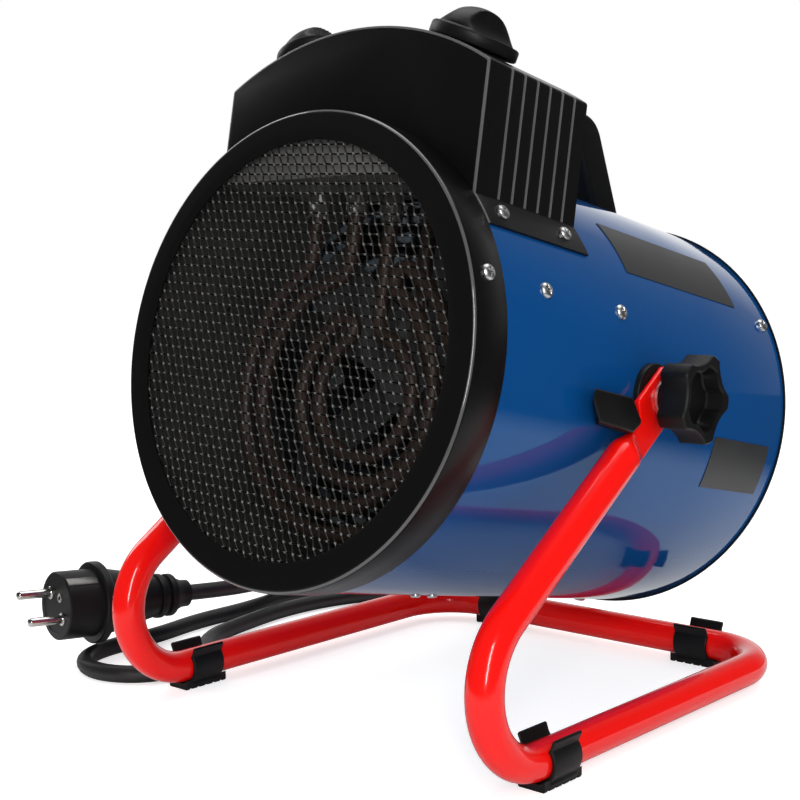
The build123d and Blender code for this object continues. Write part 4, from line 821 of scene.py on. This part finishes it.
strap = []
for foot, top, slack, radius, steps, way in STRAP_LINES:
    low, knee = (foot - HANDLE_MIDDLE - HANDLE_LEAN * (z - DRUM_R) for z in (HANDLE_LOW, top))
    strap += rounded([(way * low, HANDLE_LOW, 0), (way * (knee + slack), top, radius),
                      (-way * (knee + slack), top, radius), (-way * low, HANDLE_LOW, 0)], steps)
handle = moulding(strap, -HANDLE_HALF, HANDLE_HALF, HANDLE_EDGE, lambda u, v, w: drum(w, v, u + HANDLE_MIDDLE),
                  steps=6)
fit("strap_handle", [handle], "heater", soft_black, "black_plastic", "handle", sharp=40)

# ======== side clamps ========
# On each side a plastic saddle with a stop block backs the pressed end of the leg.
# A star knob on a screw clamps it through a bright washer; the knob's face is dished.
SADDLE_R, SADDLE_IN, SADDLE_OUT = 0.015, 0.1035, 0.1079
STOP_OUT, STOP_LEAN, STOP_ROUND = 0.1134, 0.018, 0.0022
STOP = ((-0.058, -0.0026), (-0.057, -0.008), (-0.05, -0.017), (-0.024, -0.0187), (-0.017, -0.0135),
        (-0.027, -0.0033))
WEB = ((-0.03, -0.014), (0.0, -0.014), (0.0, -0.004), (-0.03, -0.004))
WASHER_R, WASHER_IN, WASHER_OUT, BOLT_R = 0.008, 0.1116, 0.1136, 0.004
STAR_R, STAR_IN, STAR_OUT, COLLAR_R, COLLAR_IN = 0.0205, 0.1195, 0.1335, 0.0095, 0.1139
STAR_TURN, FLUTE_R, FLUTE_AT, LOBE_GAP, FLUTE_GAP = 2.0, 0.019, 0.0349, 1.6, 2.5
STAR_WALL, DISH_R, DISH_DEPTH = 0.0026, 0.0155, 0.0081
SADDLE_EDGE, STOP_EDGE, WEB_EDGE = 0.0008, 0.0013, 0.0003

reach = degrees(acos((FLUTE_AT ** 2 + STAR_R ** 2 - FLUTE_R ** 2) / (2 * FLUTE_AT * STAR_R)))
sweep = degrees(acos((FLUTE_AT ** 2 + FLUTE_R ** 2 - STAR_R ** 2) / (2 * FLUTE_AT * FLUTE_R)))
star_outline = []
for lobe in range(5):
    flute = STAR_TURN + (lobe + 0.5) * 72
    star_outline += arc((0, 0), STAR_R - 0.0002, flute - 72 + reach + LOBE_GAP, flute - reach - LOBE_GAP, 6)
    star_outline += arc(polar(FLUTE_AT, flute), FLUTE_R, flute + 180 + sweep - FLUTE_GAP,
                        flute + 180 - sweep + FLUTE_GAP, 16)
block = rounded([(*STOP[-1], 0), *((*corner, STOP_ROUND) for corner in STOP), (*STOP[0], 0)], steps=5)[1:-1]

for hand, side in ((1, "right"), (-1, "left")):
    def beside(u, v, w, hand=hand):
        """A point seen from the side: along the drum, up, and out from the middle."""
        return drum(hand * w, v, u)

    def leaning(u, v, w, hand=hand):
        """The stop's front end leans forward, out of the drum."""
        back = STOP_LEAN * min(max((STOP_OUT - w) / (STOP_OUT - DRUM_R), 0), 1)
        return drum(hand * w, v, max(u, STOP[0][0] + back))

    def upright_side(u, v, w, hand=hand):
        """The same for what stands with the frame and not with the drum."""
        return PIVOT + Vector((hand * w, u, v))

    saddle = moulding(circle(64, SADDLE_R), SADDLE_IN, SADDLE_OUT, SADDLE_EDGE, beside)
    stop = moulding(block, SADDLE_IN, STOP_OUT, STOP_EDGE, leaning, steps=4)
    web = moulding(WEB, SADDLE_IN, SADDLE_OUT - 0.0002, WEB_EDGE, beside)
    fit(f"saddle_and_stop_{side}", [saddle, stop, web], "heater", soft_black, "black_plastic", f"saddle_{side}")

    rings = [[beside(u, v, depth) for u, v in shrunk(star_outline, inset)] for inset, depth in (
        (0.0008, STAR_IN), (0.0003, STAR_IN + 0.0003), (0.0, STAR_IN + 0.0009),
        (0.0, STAR_OUT - 0.0012), (0.0002, STAR_OUT - 0.0005), (0.0007, STAR_OUT))]
    for inward, depth in ((0.0, STAR_OUT), (0.06, STAR_OUT - 0.0005), (0.1, STAR_OUT - DISH_DEPTH + 0.0008),
                          (0.16, STAR_OUT - DISH_DEPTH)):
        shares = [min(sqrt(u * u + v * v) - STAR_WALL, DISH_R) / sqrt(u * u + v * v) * (1 - inward)
                  for u, v in star_outline]
        rings.append([beside(u * share, v * share, depth) for (u, v), share in zip(star_outline, shares)])
    collar = lathe([(BOLT_R, COLLAR_IN), (COLLAR_R - 0.0004, COLLAR_IN), (COLLAR_R, COLLAR_IN + 0.0004),
                    (COLLAR_R, STAR_IN + 0.0005), (BOLT_R, STAR_IN + 0.0005)], 48, beside)
    fit(f"star_knob_{side}", [loft(rings), collar], f"clamp_{side}", soft_black, "black_plastic",
        f"side_knob_{side}", sharp=38)
    washer = lathe([(BOLT_R + 0.0001, WASHER_IN), (WASHER_R - 0.0003, WASHER_IN), (WASHER_R, WASHER_IN + 0.0003),
                    (WASHER_R, WASHER_OUT - 0.0003), (WASHER_R - 0.0003, WASHER_OUT), (BOLT_R + 0.0001, WASHER_OUT)],
                   48, upright_side)
    fit(f"clamp_washer_{side}", [washer], "stand", bright_zinc, "zinc", f"washer_{side}")

# ======== plates on the drum ========
# Two thin plain films stuck on the drum's right side, dark grey and slightly glossy.
# Each follows the drum's curve.
FILM_LOW, FILM_TOP = DRUM_R + 0.00002, DRUM_R + 0.0004
film_grey = clouded("grey_film", (0.016, 0.0165, 0.018), (0.03, 0.031, 0.033), (30.0, 2.0), (0.3, 0.15),
                    (1500.0, 3.0, 0.05, 0.0002))
for plate, near, far, low, high in (("name_plate", -0.0065, 0.095, 32.1, 48.9),
                                    ("rating_plate", 0.0625, 0.1175, -20.9, -6.9)):
    strips = [[drum(*polar(radius, low + (high - low) * i / 12), depth)
               for depth, radius in ((near, FILM_LOW), (near, FILM_TOP), (far, FILM_TOP), (far, FILM_LOW))]
              for i in range(13)]
    fit(f"{plate}_film", [loft(strips)], "heater", film_grey, "label", plate, sharp=30)

# ======== screws and rivets ========
# Bright zinc pan-head screws with a cross recess hold ring, drum, guard and hood; two bright rivets close the seam.
# One tree stands a screw on every marked point, turned a little differently each.
HEAD_R, HEAD_HEIGHT, RECESS_R, RECESS_HALF = 0.0035, 0.0022, 0.0021, 0.00048
RECESS_DEPTH, RECESS_TAPER, RECESS_EDGE, ARM_FLARE = 0.0011, 0.55, 0.00022, 1.25
PAN_EDGE, PAN_CROWN = 0.55, 0.12
SCREW_ROWS = (19.3, 166.0, -100.7)
places = [(RING_OUT, a, -0.121) for a in SCREW_ROWS]
places += [(DRUM_R, a, y) for a in SCREW_ROWS for y in (-0.0802, -0.023)]
places += [(DRUM_R, a, 0.1195) for a in (28.7, 148.7, -91.3)]
places += [(FLANGE_R + BOX_WALL, a, y) for a in (37.6, 142.4) for y in (-0.0964, -0.0514)]


def head_height(u, v, share):
    """Height of a pan head at a spot, less the tapered cross pressed into it."""
    top = HEAD_HEIGHT * (1 - PAN_EDGE * share ** 5 - PAN_CROWN * share ** 2)
    arm = min(max(abs(u), abs(v)) / RECESS_R, 1.0)
    within = RECESS_HALF * (ARM_FLARE - arm) - min(abs(u), abs(v))
    cut = min(max(within / RECESS_EDGE, 0), 1) if arm < 1 else 0
    return top - cut * RECESS_DEPTH * (1 - RECESS_TAPER * arm)


rings = [[(u, v, 0) for u, v in circle(48, HEAD_R)]]
rings += [[(u, v, head_height(u, v, share)) for u, v in circle(48, HEAD_R * share)]
          for share in (1.0, 0.97, 0.91, 0.82, 0.72, 0.64, 0.56, 0.48, 0.4, 0.33, 0.26, 0.19, 0.12, 0.05)]
head = linked("pan_head", mesh_of("pan_head", *loft(rings)))
marks = mesh_of("screw_marks", [tuple(drum(*polar(r, a), y)) for r, a, y in places])
for mark, (r, a, y) in zip(marks.attributes.new("outward", "FLOAT_VECTOR", "POINT").data, places):
    mark.vector = drum(*polar(1, a), 0) - PIVOT

driven = Recipe("driven_screws", Geometry="Geometry", Screw="Object", Seed=7, Turn=1.57, Metal="Material")
outward = driven.add("GeometryNodeInputNamedAttribute", {"Name": "outward"}, data_type="FLOAT_VECTOR")
facing = driven.add("FunctionNodeAlignEulerToVector", {"Vector": outward}, axis="Z")
turned = driven.add("FunctionNodeRandomValue", {
    "Min": 0.0, "Max": driven.size("Turn"), "Seed": driven.size("Seed")}, 1, data_type="FLOAT")
spun = driven.add("FunctionNodeRotateEuler", {"Rotation": facing, "Axis": (0, 0, 1), "Angle": turned},
                  rotation_type="AXIS_ANGLE", space="LOCAL")
driven.close(driven.add("GeometryNodeInstanceOnPoints", {
    "Points": driven.size("Geometry"), "Rotation": spun,
    "Instance": driven.add("GeometryNodeObjectInfo", {"Object": driven.size("Screw")}, "Geometry")}))
screw_shell = driven.run(marks, Screw=head, Metal=bright_zinc)
bpy.data.objects.remove(head)
fit("pan_screws", [screw_shell], "heater", bright_zinc, "zinc", "ring_screws", "drum_screws", "rear_screws",
    "box_screws", sharp=38)
dress(bright_zinc, "handle_screws", "seam_rivets")

# ======== mains cord ========
# Round black rubber cord from the gland on the rear guard, wound in a tied coil behind the heater.
# Its tail runs forward beside the left rail, loops on the table and rises into the plug.
CORD_R, CORD_LENGTH, CORD_LIES = 0.0046, 1.88, 4.7
COIL_X, COIL_Y, COIL_OUT, COIL_STEP, COIL_LOW = -185, 240, 49.5, 9.7, 6.5
COIL_QUARTERS, COIL_TIGHTEST, PER_QUARTER = 11, 6, 5
LOOP_X, LOOP_Y, LOOP_R = -158.5, -87, 33.6


def mm(*point):
    return Vector(point) / 1000


def lying(*spots):
    """Points of the cord where it lies on the table."""
    return [mm(x, y, CORD_LIES) for x, y in spots]


gland_end = nose_up @ mm(-45, 155.3, -55)
gland_run = nose_up.to_3x3() @ Vector((0, 1, 0))
plug_face, plug_neck = mm(-195, -117, 33.4), mm(-181.5, -38, 28.3)
plug_run = (plug_face - plug_neck).normalized()
route = [gland_end, gland_end + gland_run * 0.022, mm(-51, 188, 47), mm(-68, 206, 29), mm(-98, 210, 21),
         mm(-127, 202, 20.8), mm(-148, 194.5, 18), mm(-162, 192.925, 16.2), mm(-175.8, 192.925, 16.2)]
for i in range(COIL_QUARTERS * PER_QUARTER, -1, -1):
    quarter = i / PER_QUARTER
    radius = COIL_OUT - COIL_STEP * (COIL_TIGHTEST - abs(quarter - COIL_TIGHTEST)) / 4
    x, y = polar(radius / cos(radians(45 / PER_QUARTER)), quarter * 90)
    route.append(mm(COIL_X + x, COIL_Y + y, COIL_LOW + COIL_STEP * eased(quarter, 5, 7)))
route += [mm(-135.5, 230.8, COIL_LOW), mm(-135.5, 188, COIL_LOW)]
route += lying((-147, 132), (-174, 86), (-181, 40), (-172, -8), (-163, -40))
route += lying(*((LOOP_X + x, LOOP_Y + y) for x, y in arc((0, 0), LOOP_R, 40, -180, 5)))
route += lying((-191, -52), (-199, -16), (-198, 24), (-206, 66), (-188, 106), (-194, 142), (-220, 160), (-250, 150),
               (-260, 120))
route += [mm(-240, 86, 8.5), mm(-206, 56, 18.5), mm(-183, 26, 24), plug_neck - plug_run * 0.032, plug_neck]

flex = bpy.data.curves.new("mains_cord", "CURVE")
flex.dimensions = "3D"
spline = flex.splines.new("NURBS")
spline.points.add(len(route) - 1)
for control, point in zip(spline.points, route):
    control.co = (*point, 1)
spline.order_u = 3
spline.use_endpoint_u = True
flex.resolution_u = 6
flex.bevel_depth = CORD_R
flex.bevel_resolution = 6
flex.use_fill_caps = True
cord_rubber = clouded("cord_rubber", (0.005, 0.005, 0.0054), (0.015, 0.015, 0.016), (130.0, 4.0), (0.36, 0.25),
                      (1600.0, 2.0, 0.15, 0.0002))
flex.materials.append(cord_rubber)
cord = linked("mains_cord", flex)
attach(cord, "stand")
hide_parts("cord_lead", "cord_coil", "cord_tail")

# ======== gland, tie and plug ========
# A tapered rubber gland guards the cord at the heater, a narrow band ties the coil,
# and a moulded plug with two round pins and side earth strips ends the cord.
GLAND_RIBS, RIB_START, RIB_PITCH, RIB_TAPER = 6, 135.0, 3.2, 1.5 / 19.5
PIN_HALF_SPAN, SOCKET_UP = 0.0095, 0.0062
EARTH_OUT, EARTH_BACK, EARTH_FRONT, EARTH_EDGE = 0.0183, -0.0185, -0.0006, 0.0003


def from_mm(*outline):
    """A profile of (radius, depth) given in millimetres, kept just off the axis."""
    return [(max(r / 1000, 0.00001), w / 1000) for r, w in outline]


dress(soft_black, "cord_tie")
ribs = []
for start in (RIB_START + i * RIB_PITCH for i in range(GLAND_RIBS)):
    radius = 8.0 - RIB_TAPER * (start - RIB_START)
    ribs += [(radius, start), (radius - 0.2, start + 1.8), (radius - 1.4, start + 2.0), (radius - 1.4, start + 3.0)]
gland_outline = from_mm((4.8, 129.7), (12, 129.7), (12, 132.2), (11.5, 132.7), (8.2, 132.9), *ribs,
                        (6.4, 154.8), (6.0, 155), (4.8, 155))
fit("gland_sleeve", [lathe(gland_outline, 40, lambda u, v, w: drum(u - 0.045, v - 0.055, w))], "heater",
    cord_rubber, "black_rubber", "cord_gland", sharp=40)

flat = Vector((0, 0, 1)).cross(plug_run).normalized()
pin_line = Matrix.Rotation(radians(-38.4), 3, plug_run) @ flat
earth_line = plug_run.cross(pin_line)


def on_plug(u, v, w):
    """A point in the plug's own axes: along the pins' line, square to it, and out of the face."""
    return plug_face + pin_line * u + earth_line * v + plug_run * w


plug_long = (plug_face - plug_neck).length * 1000
plug_outline = from_mm(
    (0, -0.4), (15, -0.4), (15.2, 0), (17.8, 0), (18.5, -0.7), (18.5, -19.6), (21.7, -19.9), (22.4, -20.6),
    (22.4, -24.4), (21.7, -25.1), (18.7, -25.6), (17.8, -30), (16.3, -38), (14.8, -44.5), (13, -52), (11.8, -57.2),
    (11.3, -59), (12.3, -59.4), (12.5, -60), (12.5, -62.4), (12.2, -63), (11.2, -63.2), (10.4, -65.8),
    (11.8, -66.2), (12, -66.8), (12, -69.2), (11.7, -69.8), (10.4, -70), (9, -73), (7.8, -76),
    (7.6, 0.2 - plug_long), (7, -plug_long), (0, -plug_long))
plug = fit("plug_body", [lathe(plug_outline, 96, on_plug)], "stand", soft_black, "black_rubber", "mains_plug")

pin_outline = from_mm((0, 19), (1.3, 19), (1.9, 18.7), (2.3, 18.1), (2.4, 17.2), (2.4, 0), (2.4, -4), (0, -4))
collar_outline = from_mm((2.3, -1), (3.5, -1), (3.5, 0.2), (3.2, 0.5), (2.3, 0.5))
socket_outline = from_mm((1.2, -3), (2.4, -3), (2.4, -0.1), (2.2, 0.1), (1.4, 0.1), (1.2, -0.1))
pin_shells = [lathe(outline, 32, lambda u, v, w, s=s: on_plug(u + s * PIN_HALF_SPAN, v, w))
              for s in (1, -1) for outline in (pin_outline, collar_outline)]
pin_shells.append(lathe(socket_outline, 24, lambda u, v, w: on_plug(u, v + SOCKET_UP, w)))
nickel_plate = clouded("nickel_plate", (0.5, 0.49, 0.46), (0.68, 0.67, 0.64), (260.0, 3.0), (0.12, 0.15),
                       metallic=1.0)
pins = fit("contact_pins", pin_shells, "stand", nickel_plate, "plated_pins", "plug_pins", sharp=40)

EARTH_SECTION = ((-0.0025, -0.0008), (0.0025, -0.0008), (0.0025, 0.0004), (0.0015, 0.0007), (-0.0015, 0.0007),
                 (-0.0025, 0.0004))
earth_shells = [moulding(EARTH_SECTION, EARTH_BACK, EARTH_FRONT, EARTH_EDGE,
                         lambda u, v, w, s=s: on_plug(s * u, s * (EARTH_OUT + v), w)) for s in (1, -1)]
# Painted shade: the earth strips get a darker copy of the pins' nickel plating.
shaded_nickel = clouded("tarnished_nickel", (0.09, 0.088, 0.083), (0.19, 0.186, 0.178), (260.0, 3.0), (0.22, 0.15),
                      metallic=0.9)
earth = fit("earth_strips", earth_shells, "stand", shaded_nickel, "plated_pins", "plug_earth", sharp=40)
